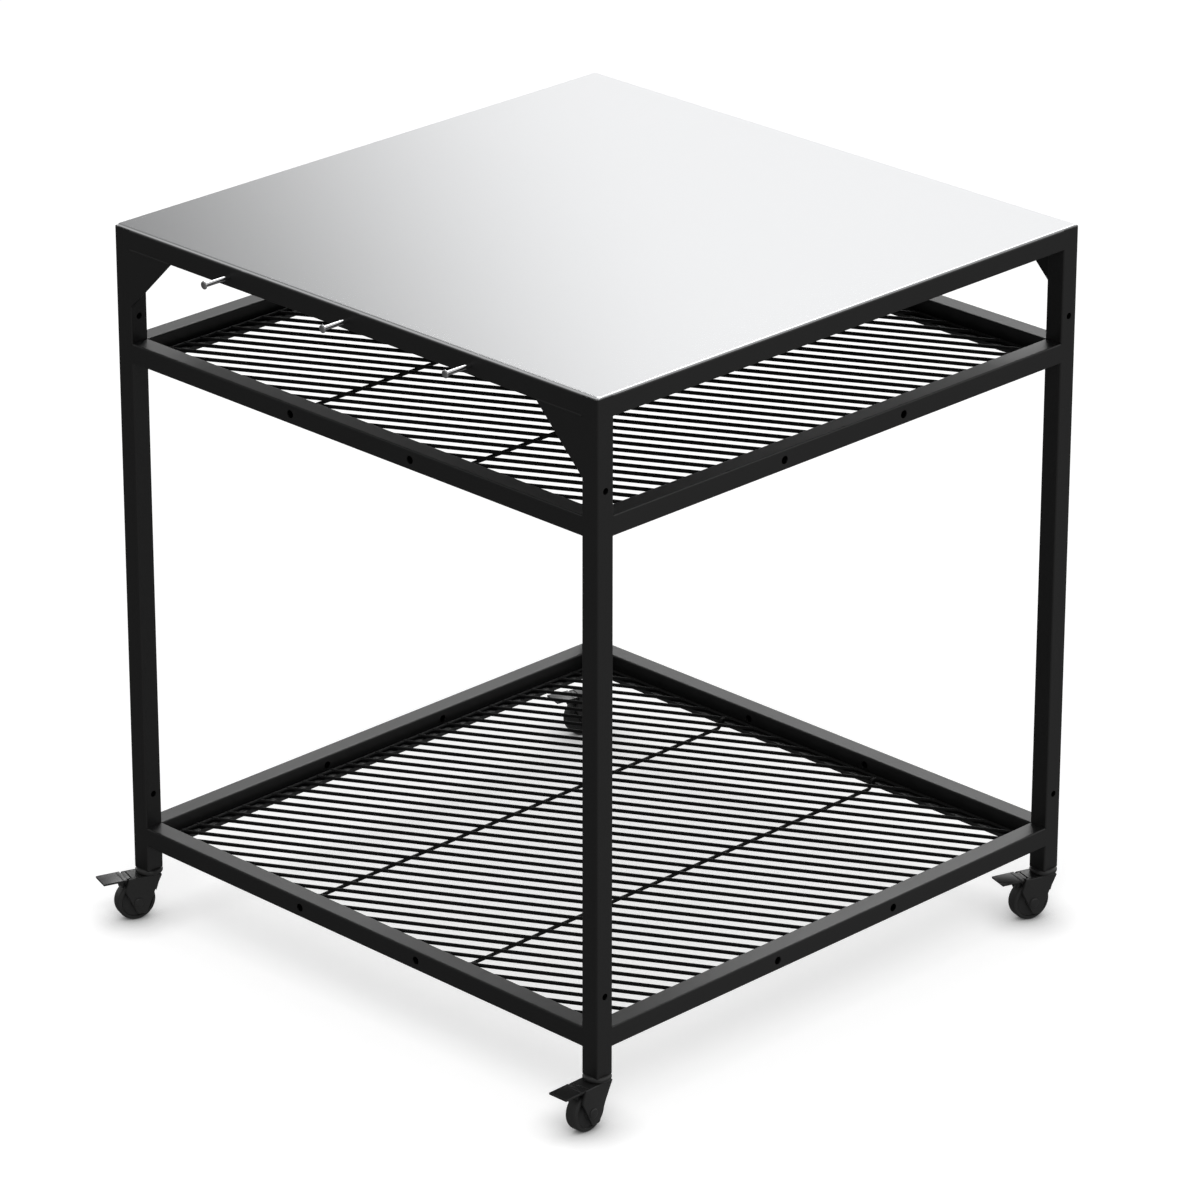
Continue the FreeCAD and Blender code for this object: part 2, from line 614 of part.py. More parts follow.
def make_fork(corner):
    """The swivelling fork: a flat hood around the swivel pin and two cheeks down to the axle."""
    fork = new_body("fork_" + corner)
    side_view = new_sketch(fork, "XZ_Plane")
    tip = "wheel_radius - tip_drop"
    add_outline(side_view, [
        ("-hood_rear", "hood_height"),
        ("hood_front", "hood_height"),
        ("trail + brow_reach", "wheel_radius + brow_rise"),
        ("trail + tip_front", tip),
        ("trail - tip_rear", tip),
        ("trail - back_reach", "wheel_radius + back_rise"),
    ])
    block = add_pad(fork, side_view, "fork_width", symmetric=True)
    tip_level = value_of(in_sheet(tip))
    tips = add_fillet(fork, block, lambda edge: runs_along(edge, 1) and is_low(edge, tip_level), "fork_tip_radius")
    half_width = size("fork_width") / 2
    add_fillet(fork, tips, lambda edge: lies_at(edge, 1, half_width), "fork_edge_radius")
    hollow = new_sketch(fork, "XZ_Plane")
    add_circle(hollow, "trail", "wheel_radius", "slot_radius")
    add_cut(fork, hollow, "fork_slot")
    notch = new_sketch(fork, "XZ_Plane")
    near = "trail + notch_reach"
    far = "trail + brow_reach + cut_margin"
    above = "hood_height + cut_margin"
    add_outline(notch, [(near, "wheel_radius"), (far, "wheel_radius"), (far, above), (near, above)])
    add_cut(fork, notch, "fork_slot")
    pin_bore = new_sketch(fork, "XY_Plane", "hood_height")
    add_circle(pin_bore, "0", "0", "swivel_pin_radius + hole_clearance")
    add_cut(fork, pin_bore, "2 * (hood_height - rivet_level + rivet_height)")
    rivet_bore = new_sketch(fork, "XY_Plane", "rivet_level")
    add_circle(rivet_bore, "0", "0", "rivet_radius + hood_gap")
    add_cut(fork, rivet_bore, "2 * (rivet_height + hood_gap)")
    drill(fork, "XZ_Plane", [("trail", "wheel_radius")], "axle_radius + hole_clearance", "2 * fork_width")
    pedal_hole = [("pedal_pivot_reach", "pedal_pivot_height")]
    drill(fork, "XZ_Plane", pedal_hole, "pedal_pin_radius + hole_clearance", "2 * fork_width")
    at_leg(fork, corner)


def is_low(edge, level):
    """True for a level edge at a height."""
    return abs(edge.BoundBox.ZMax - level) < 1e-6


def lies_at(edge, axis, distance):
    """True for an edge that lies in one of the two planes at a distance from the middle."""
    box = edge.BoundBox
    low = (box.XMin, box.YMin, box.ZMin)[axis]
    high = (box.XMax, box.YMax, box.ZMax)[axis]
    return abs(abs(low) - distance) < 1e-5 and abs(low - high) < 1e-5


def make_wheel(corner):
    """A black wheel with rounded tread edges, dished sides and a hub that runs on the axle."""
    wheel = new_body("wheel_" + corner)
    half_view = new_sketch(wheel, "XY_Plane")
    bore = "axle_radius + hole_clearance"
    web_rim = "wheel_radius - wheel_shoulder - rim_slope"
    upper = [
        (bore, "hub_width / 2"),
        ("hub_radius", "hub_width / 2"),
        ("hub_radius", "wheel_width / 2 - web_depth"),
        (web_rim, "wheel_width / 2 - web_depth"),
        ("wheel_radius - wheel_shoulder", "wheel_width / 2"),
        ("wheel_radius - shoulder_step", "wheel_width / 2 - shoulder_step"),
        ("wheel_radius", "wheel_width / 2 - wheel_shoulder"),
    ]
    lower = [(across, f"-({up})") for across, up in reversed(upper)]
    add_outline(half_view, upper + lower)
    add_turn(wheel, half_view)
    at_leg(wheel, corner, "trail", "wheel_radius")


def make_axle(corner):
    """A riveted axle with a flat head outside each fork cheek."""
    axle = new_body("axle_" + corner)
    half_view = new_sketch(axle, "XY_Plane")
    cheek = "fork_width / 2"
    add_outline(half_view, [
        ("0", f"-({cheek} + axle_head_length)"),
        ("axle_head_radius", f"-({cheek} + axle_head_length)"),
        ("axle_head_radius", f"-{cheek}"),
        ("axle_radius", f"-{cheek}"),
        ("axle_radius", cheek),
        ("axle_head_radius", cheek),
        ("axle_head_radius", f"{cheek} + axle_head_length"),
        ("0", f"{cheek} + axle_head_length"),
    ])
    add_turn(axle, half_view)
    at_leg(axle, corner, "trail", "wheel_radius")


def make_pedal(corner):
    """A brake pedal: wide plate, barrel and trunnions in the cheeks, and a shoe above the tread."""
    pedal = new_body("brake_pedal_" + corner)
    plate = new_sketch(pedal, "XZ_Plane")
    tip = "pedal_reach - pedal_pivot_reach"
    add_outline(plate, [
        ("pedal_plate_start", "pedal_plate_rise"),
        (tip, "pedal_tip_rise"),
        (tip, "pedal_tip_rise - pedal_thickness"),
        ("pedal_plate_start", "pedal_plate_rise - pedal_thickness"),
    ])
    add_pad(pedal, plate, "fork_width", symmetric=True)
    root = new_sketch(pedal, "XZ_Plane")
    far = "pedal_plate_start + pedal_lap"
    above = "pedal_plate_rise - pedal_thickness / 2"
    add_outline(root, [
        ("-pedal_barrel_radius", "0"),
        ("-pedal_barrel_radius", above),
        ("pedal_plate_start", "pedal_plate_rise"),
        (far, above),
        (far, "0"),
    ])
    add_pad(pedal, root, "hub_width", symmetric=True)
    barrel = new_sketch(pedal, "XZ_Plane")
    add_circle(barrel, "0", "0", "pedal_barrel_radius")
    add_pad(pedal, barrel, "hub_width", symmetric=True)
    shoe = new_sketch(pedal, "XZ_Plane")
    add_outline(shoe, [
        ("shoe_start", "0"),
        ("shoe_reach", "shoe_rise"),
        ("shoe_reach", "-shoe_drop"),
        ("toe_reach", "-toe_drop"),
    ])
    add_pad(pedal, shoe, "shoe_width", symmetric=True)
    trunnion = new_sketch(pedal, "XZ_Plane")
    add_circle(trunnion, "0", "0", "pedal_pin_radius")
    add_pad(pedal, trunnion, "fork_width - 2 * pedal_pin_recess", symmetric=True)
    at_leg(pedal, corner, "pedal_pivot_reach", "pedal_pivot_height")


def build_table():
    """Make every sub-part of the table."""
    for corner in CORNERS:
        make_leg(corner)
        make_gusset(corner)
    for side in SIDE_TURNS:
        make_top_rail(side)
        for shelf in ("upper", "lower"):
            make_shelf_rail(shelf, side)
            make_ledge(shelf, side)
    make_grate("upper")
    make_grate("lower")
    make_worktop()
    make_cross_bar("left", -1)
    make_cross_bar("right", 1)
    make_worktop_screws()
    for name, place_number in (("left", -1), ("middle", 0), ("right", 1)):
        make_peg(name, place_number)
    make_peg_nuts()
    for corner in CORNERS:
        make_cap(corner)
        make_fork(corner)
        make_wheel(corner)
        make_axle(corner)
        make_pedal(corner)


def sub_parts():
    """The objects that become part files."""
    return [item for item in doc.Objects if item.TypeId in ("PartDesign::Body", "Part::Feature")]


def check_document():
    """Stop with the names of every object that failed, before anything is written."""
    faults = []
    for item in doc.Objects:
        if "Invalid" in item.State or "Error" in item.State:
            faults.append(f"{item.Label}: {item.State}")
    for item in sub_parts():
        shape = item.Shape
        if shape.isNull() or not shape.isValid() or not shape.Solids:
            faults.append(f"{item.Label}: no valid solid")
    if faults:
        raise RuntimeError("; ".join(faults))


def write_parts():
    """Write one file for each sub-part."""
    os.makedirs("parts", exist_ok=True)
    for item in sub_parts():
        item.Shape.exportStep(f"parts/{item.Label}.step")
        print(item.Label, len(item.Shape.Solids), round(item.Shape.Volume, 1))


fill_sheet()
build_table()
doc.recompute()
check_document()
write_parts()
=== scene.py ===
"""Looks of a rolling outdoor oven table: stainless worktop, black tube frame, wire grates and braked casters.

Everything is in metres in the frame's own axes: +Z up, the tool pegs on the -Y side, the origin on the floor.
"""

import json
import logging
import math
from dataclasses import dataclass
from enum import Enum
from typing import Any, Sequence, Union

import bmesh
import bpy
import numpy as np
from mathutils import Matrix, Vector


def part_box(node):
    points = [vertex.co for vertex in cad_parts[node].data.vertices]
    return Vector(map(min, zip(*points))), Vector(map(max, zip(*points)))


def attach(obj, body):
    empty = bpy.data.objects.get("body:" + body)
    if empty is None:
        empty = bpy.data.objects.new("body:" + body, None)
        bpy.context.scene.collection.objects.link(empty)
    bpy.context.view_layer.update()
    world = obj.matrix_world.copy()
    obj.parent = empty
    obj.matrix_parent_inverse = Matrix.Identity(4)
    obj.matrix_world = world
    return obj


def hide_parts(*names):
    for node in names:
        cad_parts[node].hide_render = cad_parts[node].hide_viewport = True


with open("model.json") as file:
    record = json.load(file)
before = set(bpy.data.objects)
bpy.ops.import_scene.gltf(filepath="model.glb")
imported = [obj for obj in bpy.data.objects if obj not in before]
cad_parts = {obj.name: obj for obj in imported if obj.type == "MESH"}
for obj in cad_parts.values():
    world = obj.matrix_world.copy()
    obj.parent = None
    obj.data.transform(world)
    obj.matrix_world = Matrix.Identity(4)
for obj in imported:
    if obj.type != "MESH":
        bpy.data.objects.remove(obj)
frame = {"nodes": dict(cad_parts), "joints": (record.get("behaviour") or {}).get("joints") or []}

LOG = logging.getLogger("oven_table")
MM = 0.001
CORNERS = ("front_left", "front_right", "rear_right", "rear_left")
SIDES = ("front", "right", "rear", "left")
SHELVES = ("upper", "lower")
RAILS = ("top_rail", "upper_shelf_rail", "lower_shelf_rail")
PEGS = ("left", "middle", "right")
UP = (0.0, 0.0, 1.0)
# A Mix node's colour inputs and its colour output, by number.
MIX_DARK, MIX_LIGHT, MIX_COLOUR = 6, 7, 2
WHITE = (1.0, 1.0, 1.0, 1.0)

Number = Union[float, "Wire"]
Pair = tuple[float, float]
Place = tuple[float, float, float]
Name = Union[str, int]


class Axis(Enum):
    """An axis of the frame."""

    X = 0
    Y = 1
    Z = 2


@dataclass(frozen=True)
class Wire:
    """One output of a shader node; Python operators on it add Math nodes."""

    graph: "Graph"
    node: bpy.types.Node
    name: Name = 0

    def out(self, name: Name) -> "Wire":
        """Another output of the same node."""
        return Wire(self.graph, self.node, name)

    def _math(self, operation: str, first: Number, second: Number) -> "Wire":
        """One Math node."""
        return self.graph.add("Math", {0: first, 1: second}, operation=operation)

    def __add__(self, other: Number) -> "Wire":
        """Sum."""
        return self._math("ADD", self, other)

    def __sub__(self, other: Number) -> "Wire":
        """Difference."""
        return self._math("SUBTRACT", self, other)

    def __rsub__(self, other: Number) -> "Wire":
        """Difference with this value taken away."""
        return self._math("SUBTRACT", other, self)

    def __mul__(self, other: Number) -> "Wire":
        """Product."""
        return self._math("MULTIPLY", self, other)

    def __truediv__(self, other: Number) -> "Wire":
        """Quotient."""
        return self._math("DIVIDE", self, other)

    def clipped(self) -> "Wire":
        """The value kept between 0 and 1."""
        return self._math("MINIMUM", self._math("MAXIMUM", self, 0.0), 1.0)

    def eased(self, low: float, high: float) -> "Wire":
        """A soft step: with t = (value - low) / (high - low) clipped, t * t * (3 - 2 * t)."""
        share = ((self - low) / (high - low)).clipped()
        return share * share * (3.0 - share * 2.0)

    def angle_from(self, level: "Wire") -> "Wire":
        """The angle, in radians, whose sine side is this value and whose cosine side is level."""
        return self._math("ARCTAN2", self, level)


class Graph:
    """The node tree of one material or of the world."""

    def __init__(self, owner: Union[bpy.types.Material, bpy.types.World]) -> None:
        """Empty the owner's tree.

        Args:
            owner: the material or the world.
        """
        owner.use_nodes = True
        self.tree = owner.node_tree
        self.tree.nodes.clear()

    def add(self, kind: str, values: dict[Name, Any], **settings: Any) -> Wire:
        """Add one node.

        Args:
            kind: the node's type without its prefix.
            values: a number, colour, vector or Wire for each input that isn't left at its default.
            settings: properties, set first.

        Returns:
            The node's first output.
        """
        node = self.tree.nodes.new(f"ShaderNode{kind}")
        for key, value in settings.items():
            setattr(node, key, value)
        for key, value in values.items():
            if isinstance(value, Wire):
                self.tree.links.new(value.node.outputs[value.name], node.inputs[key])
            else:
                node.inputs[key].default_value = value
        return Wire(self, node)

    def noise(self, point: Wire, scale: float, detail: float, roughness: float = 0.5) -> Wire:
        """A noise value between 0 and 1.

        Args:
            point: where it is read.
            scale: waves per metre.
            detail: number of finer layers.
            roughness: weight of the finer layers.

        Returns:
            The noise value.
        """
        values = {"Vector": point, "Scale": scale, "Detail": detail, "Roughness": roughness}
        return self.add("TexNoise", values).out("Fac")

    def either(self, factor: Wire, first: Wire, second: Wire) -> Wire:
        """The first shader where the factor is 0, the second where it is 1."""
        return self.add("MixShader", {0: factor, 1: first, 2: second})


@dataclass(frozen=True)
class Finish:
    """A surface finish for one slot of the record, which builds one node material.

    Patches change its colour and sheen, and a grain bends its normal. Both are noises, given as waves per
    metre and number of layers. The shades are the darkest and the lightest share of the level.
    """

    name: str
    slot: str
    level: float
    roughness: float
    roughness_span: float
    shades: Pair
    patches: Pair
    grain: Pair
    grain_depth: float
    specular: float = 0.5
    metallic: float = 0.0
    hue: Place = (1.0, 1.0, 1.0)

    def material(self) -> bpy.types.Material:
        """The material, made once and then shared.

        Returns:
            The Blender material with this finish's nodes.
        """
        found = bpy.data.materials.get(self.name)
        if found is None:
            found = bpy.data.materials.new(self.name)
            self.wire(Graph(found))
        return found

    def wire(self, graph: Graph) -> None:
        """Add the nodes.

        Args:
            graph: the material's graph.
        """
        colour, sheen, height = self.noises(graph, graph.add("TexCoord", {}).out("Object"))
        dark, light = ((*(self.level * shade * part for part in self.hue), 1.0) for shade in self.shades)
        mixed = graph.add("Mix", {0: colour, MIX_DARK: dark, MIX_LIGHT: light}, data_type="RGBA")
        values = {
            "Base Color": mixed.out(MIX_COLOUR),
            "Metallic": self.metallic,
            "Roughness": sheen * self.roughness_span + (self.roughness - self.roughness_span / 2),
            "Specular IOR Level": self.specular,
            "Normal": graph.add("Bump", {"Height": height, "Distance": self.grain_depth}).out("Normal"),
        }
        graph.add("OutputMaterial", {0: graph.add("BsdfPrincipled", values)})

    def noises(self, graph: Graph, point: Wire) -> tuple[Wire, Wire, Wire]:
        """The noises of colour, sheen and normal at a point in the frame's own metres."""
        patch = graph.noise(point, *self.patches)
        return patch, patch, graph.noise(point, *self.grain)


@dataclass(frozen=True)
class PowderCoat(Finish):
    """Black powder coat: fine orange peel, faint cloudiness and a soft sheen."""

    level: float = 0.003
    roughness: float = 0.45
    roughness_span: float = 0.08
    shades: Pair = (0.9, 1.15)
    patches: Pair = (14.0, 3.0)
    grain: Pair = (900.0, 1.0)
    grain_depth: float = 0.03 * MM


@dataclass(frozen=True)
class SatinSteel(Finish):
    """Fine satin stainless steel; its grain is given as waves across and along one axis."""

    level: float = 0.88
    roughness: float = 0.09
    roughness_span: float = 0.06
    shades: Pair = (0.985, 1.0)
    patches: Pair = (5.0, 3.0)
    grain: Pair = (900.0, 9.0)
    grain_depth: float = 0.0006 * MM
    metallic: float = 1.0
    hue: Place = (0.992, 1.0, 1.012)
    grain_along: Axis = Axis.X
    grain_layers: Pair = (3.0, 0.6)

    def noises(self, graph: Graph, point: Wire) -> tuple[Wire, Wire, Wire]:
        """Grain is noise stretched a hundredfold along one axis; smudges change the roughness slightly.

        Args:
            graph: the material's graph.
            point: the point in the frame's own metres.

        Returns:
            The noises of colour, sheen and normal.
        """
        across, along = self.grain
        factors = tuple(along if axis is self.grain_along else across for axis in Axis)
        stretched = graph.add("VectorMath", {0: point, 1: factors}, operation="MULTIPLY")
        grain = graph.noise(stretched, 1.0, *self.grain_layers)
        return grain, (graph.noise(point, *self.patches) + grain) * 0.5, grain


@dataclass(frozen=True)
class BrightSteel(Finish):
    """Polished or plated steel with faint turning marks."""

    roughness_span: float = 0.08
    shades: Pair = (0.9, 1.0)
    patches: Pair = (600.0, 2.0)
    grain: Pair = (600.0, 2.0)
    grain_depth: float = 0.004 * MM
    metallic: float = 1.0
    hue: Place = (1.0, 1.0, 1.01)


@dataclass(frozen=True)
class MouldedBlack(Finish):
    """Black rubber or moulded plastic with a fine matte grain, lighter where it is worn."""

    level: float = 0.018
    roughness: float = 0.5
    roughness_span: float = 0.12
    shades: Pair = (0.85, 1.2)
    patches: Pair = (60.0, 3.0)
    grain: Pair = (1500.0, 2.0)
    grain_depth: float = 0.02 * MM
    specular: float = 0.3


FRAME_COAT = PowderCoat("frame_powder_coat", "frame_black")
GRATE_COAT = PowderCoat("grate_powder_coat", "grate_black", roughness=0.5, specular=0.12)
CASTER_PAINT = PowderCoat("caster_paint", "caster_black", level=0.008, roughness=0.4, grain=(1400.0, 1.0))
PEDAL_PAINT = PowderCoat("pedal_paint", "pedal_black", level=0.008, roughness=0.38, grain=(1400.0, 1.0))
TOP_STEEL = SatinSteel("worktop_satin_steel", "worktop_steel")
PEG_STEEL = BrightSteel("peg_polished_steel", "peg_steel", level=0.5, roughness=0.06)
PLATED_STEEL = BrightSteel("zinc_plated_steel", "fastener_steel", level=0.55, roughness=0.3)
WHEEL_RUBBER = MouldedBlack("wheel_black", "wheel_rubber")


def placed(name: str, data: Any) -> bpy.types.Object:
    """A new object of the scene.

    Args:
        name: the object's name.
        data: its mesh, camera or lamp.

    Returns:
        The object, at the origin.
    """
    made = bpy.data.objects.new(name, data)
    bpy.context.scene.collection.objects.link(made)
    return made


def joined(rings: np.ndarray) -> tuple[np.ndarray, list[list[int]]]:
    """Join rings to a closed surface.

    Quads join neighbouring rings. A fan to the middle of each end ring closes the surface, unless the last
    ring repeats the first.

    Args:
        rings: rings by points by 3.

    Returns:
        The surface's points and faces.
    """
    looped = np.array_equal(rings[0], rings[-1])
    points = (rings[:-1] if looped else rings).reshape(-1, 3)
    width = rings.shape[1]
    base = len(points) - width
    ring = np.arange(len(rings) - 1)[:, None] * width
    next_ring = (ring + width) % len(points)
    step = np.arange(width)
    next_step = (step + 1) % width
    corners = [ring + step, ring + next_step, next_ring + next_step, next_ring + step]
    faces = np.stack(corners, axis=-1).reshape(-1, 4).tolist()
    if not looped:
        first, last = np.full(width, len(points)), np.full(width, len(points) + 1)
        faces += np.stack([next_step, step, first], axis=1).tolist()
        faces += np.stack([base + step, base + next_step, last], axis=1).tolist()
        points = np.vstack([points, rings[0].mean(axis=0), rings[-1].mean(axis=0)])
    return points, faces


def coat(piece: bpy.types.Object, finish: Finish) -> None:
    """Give a piece its finish in place of any other.

    Args:
        piece: the piece or node.
        finish: its finish.
    """
    piece.data.materials.clear()
    piece.data.materials.append(finish.material())
    LOG.info("%s: %s, %d faces", piece.name, finish.name, len(piece.data.polygons))


def add_piece(name: str, surfaces: Sequence[np.ndarray], sharp_degrees: float, finish: Finish, body: str,
              *nodes: str, placement: Matrix = Matrix()) -> None:
    """Write closed surfaces as one smooth mesh whose faces look outwards, and tie it to the frame.

    Args:
        name: the piece's name.
        surfaces: each surface's rings.
        sharp_degrees: edges that turn by more than this stay sharp.
        finish: its finish.
        body: the body that it rides on.
        nodes: the nodes that it stands for.
        placement: brings its points to the frame's own axes.
    """
    points, faces = [], []
    for rings in surfaces:
        more, around = joined(rings)
        faces += [[index + len(points) for index in face] for face in around]
        points += more.tolist()
    mesh = bpy.data.meshes.new(name)
    mesh.from_pydata(points, [], faces)
    mesh.transform(placement)
    mesh.validate()
    work = bmesh.new()
    work.from_mesh(mesh)
    bmesh.ops.recalc_face_normals(work, faces=work.faces)
    work.to_mesh(mesh)
    work.free()
    mesh.polygons.foreach_set("use_smooth", [True] * len(mesh.polygons))
    mesh.set_sharp_from_angle(angle=math.radians(sharp_degrees))
    piece = placed(name, mesh)
    coat(piece, finish)
    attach(piece, body)
    if nodes:
        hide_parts(*nodes)


def arc(centre: Pair, radius: float, start: float, end: float, steps: int) -> np.ndarray:
    """Points on a circle: centre + radius * (cos a, sin a), with a in degrees from start to end."""
    angle = np.radians(np.linspace(start, end, steps))
    return np.stack([centre[0] + radius * np.cos(angle), centre[1] + radius * np.sin(angle)], axis=1)


def circle(radius: float, segments: int) -> np.ndarray:
    """Points on a circle about the origin, segments by 2."""
    return arc((0, 0), radius, 0, 360, segments + 1)[:-1]


def rounded(corners: Sequence[tuple[float, float, float]], steps: int) -> np.ndarray:
    """A closed outline with each corner rounded.

    At a corner with directions a in and b out, an arc of the corner's radius is tangent to both sides: its
    tangent points lie radius * tan(turn / 2) from the corner.

    Args:
        corners: the corners in order, as place, place and radius.
        steps: points on each arc.

    Returns:
        The outline's points.
    """
    points = np.array([corner[:2] for corner in corners])
    pieces = []
    for index, (_, _, radius) in enumerate(corners):
        here = points[index]
        arriving = here - points[index - 1]
        leaving = points[(index + 1) % len(points)] - here
        arriving = arriving / np.linalg.norm(arriving)
        leaving = leaving / np.linalg.norm(leaving)
        if radius <= 0:
            pieces.append(here[None, :])
            continue
        turn = math.acos(float(np.clip(arriving @ leaving, -1, 1)))
        setback = radius * math.tan(turn / 2)
        inward = (leaving - arriving) / np.linalg.norm(leaving - arriving)
        centre = here + inward * radius / math.cos(turn / 2)
        share = np.linspace(0, 1, steps)[:, None]
        start = here - arriving * setback - centre
        end = here + leaving * setback - centre
        weight_start = np.sin((1 - share) * turn) / math.sin(turn)
        weight_end = np.sin(share * turn) / math.sin(turn)
        pieces.append(centre + weight_start * start + weight_end * end)
    return np.vstack(pieces)


def inset(outline: np.ndarray, distance: float, least: float = 0.3) -> np.ndarray:
    """Move a closed outline inwards: each point goes along the mean of its two sides' normals.

    Args:
        outline: the closed outline.
        distance: how far its sides go.
        least: the least divisor, which holds sharp corners back.

    Returns:
        The smaller outline.
    """
    side = np.roll(outline, -1, axis=0) - outline
    side = side / np.linalg.norm(side, axis=1, keepdims=True)
    after = np.stack([-side[:, 1], side[:, 0]], axis=1)
    before = np.roll(after, 1, axis=0)
    share = 1 + np.sum(before * after, axis=1, keepdims=True)
    area = np.sum(outline[:, 0] * np.roll(outline[:, 1], -1) - outline[:, 1] * np.roll(outline[:, 0], -1))
    return outline + math.copysign(distance, area) * (before + after) / np.maximum(share, least)


def to_axis(flat: np.ndarray, along: Union[float, np.ndarray], axis: Axis) -> np.ndarray:
    """Put outline points in space.

    Args:
        flat: n by 2 points; for Y they are X and Z, for Z they are X and Y, for X they are Y and Z.
        along: the place along the axis.
        axis: the axis that the outline stands square to.

    Returns:
        n by 3 points.
    """
    filled = np.broadcast_to(np.asarray(along, float), (len(flat),))
    columns = {
        Axis.X: (filled, flat[:, 0], flat[:, 1]),
        Axis.Y: (flat[:, 0], filled, flat[:, 1]),
        Axis.Z: (flat[:, 0], flat[:, 1], filled),
    }
    return np.stack(columns[axis], axis=1)


def dome(radius: float, foot: float, height: float, side: float, end: float, steps: int) -> list[Pair]:
    """A head's profile: radius * cos a across, and foot + height * (side + (1 - side) * sin a) along.

    Args:
        radius: the head's radius.
        foot: the place of its flat face.
        height: its height, signed.
        side: the share of the height that is upright side.
        end: the last angle a in degrees; the first is 0.
        steps: how many points.

    Returns:
        Radii and places.
    """
    across, up = arc((0, 0), 1.0, 0, end, steps).T
    return list(zip(radius * across, foot + height * (side + (1 - side) * up)))


def plate(outline: np.ndarray, low: float, high: float, rim: float, steps: int = 4) -> np.ndarray:
    """Rings of an outline extruded along Y, whose two rims are rounded.

    Along a rim the outline is drawn in by rim * (1 - cos a) while it rises by rim * sin a.

    Args:
        outline: the closed outline.
        low: the lower end.
        high: the upper end.
        rim: radius of both rims.
        steps: rings on each rim.

    Returns:
        Rings by points by 3.
    """
    angles = np.radians(np.linspace(0, 90, steps))
    drawn = [(rim * (1 - math.sin(a)), low + rim * (1 - math.cos(a))) for a in angles]
    drawn += [(rim * (1 - math.cos(a)), high - rim * (1 - math.sin(a))) for a in angles]
    return np.stack([to_axis(inset(outline, distance), along, Axis.Y) for distance, along in drawn])


def turned(profile: Sequence[Pair], centre: Place, axis: Axis, segments: int) -> np.ndarray:
    """Rings of a turned shape: each profile point makes a circle about the axis.

    Args:
        profile: radii and places along the axis.
        centre: the point of the axis from which places are counted.
        axis: the direction of the axis.
        segments: points on each circle.

    Returns:
        Rings by points by 3.
    """
    return np.stack([to_axis(circle(radius, segments), along, axis) for radius, along in profile]) + centre


def swept(path: np.ndarray, up: Place, radius: float, segments: int, closed: bool = False) -> np.ndarray:
    """Rings of a round wire along a path that lies in one plane.

    Each ring is path + radius * (cos a * side + sin a * up), with side square to the path and to up.

    Args:
        path: n by 3 points.
        up: the direction square to the path's plane.
        radius: the wire's radius.
        segments: points on each ring.
        closed: whether the path returns to its start.

    Returns:
        Rings by points by 3.
    """
    if closed:
        along = np.roll(path, -1, axis=0) - np.roll(path, 1, axis=0)
        path, along = np.vstack([path, path[:1]]), np.vstack([along, along[:1]])
    else:
        along = np.gradient(path, axis=0)
    side = np.cross(along / np.linalg.norm(along, axis=1, keepdims=True), up)
    ring = circle(radius, segments)
    return path[:, None] + ring[:, :1] * side[:, None] + ring[:, 1:] * np.array(up)


def open_bends(points: Sequence[Pair], radius: float, steps: int) -> np.ndarray:
    """An open line with an arc of one radius at each inner point.

    Args:
        points: the line's corners.
        radius: the radius of each bend.
        steps: points on each arc.

    Returns:
        The line's points.
    """
    line = np.array(points)
    pieces = [line[:1]]
    for before, here, after in zip(line, line[1:], line[2:]):
        pieces.append(rounded([(*before, 0), (*here, radius), (*after, 0)], steps)[1:-1])
    pieces.append(line[-1:])
    return np.vstack(pieces)


def joint(name: str) -> dict[str, Any]:
    """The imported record's joint of that name."""
    return next(entry for entry in frame["joints"] if entry["name"] == name)


@dataclass
class TubeFrame:
    """Legs, rails, ledges, gussets and cross bars: nodes whose shape stays, with their coat."""

    def build(self) -> None:
        """Dress every tube, strip and plate."""
        kinds = RAILS + tuple(f"{shelf}_ledge" for shelf in SHELVES)
        nodes = [f"{kind}_{corner}" for corner in CORNERS for kind in ("leg", "gusset")]
        nodes += [f"{kind}_{side}" for side in SIDES for kind in kinds]
        nodes += ["worktop_bar_left", "worktop_bar_right"]
        for node in nodes:
            coat(frame["nodes"][node], FRAME_COAT)


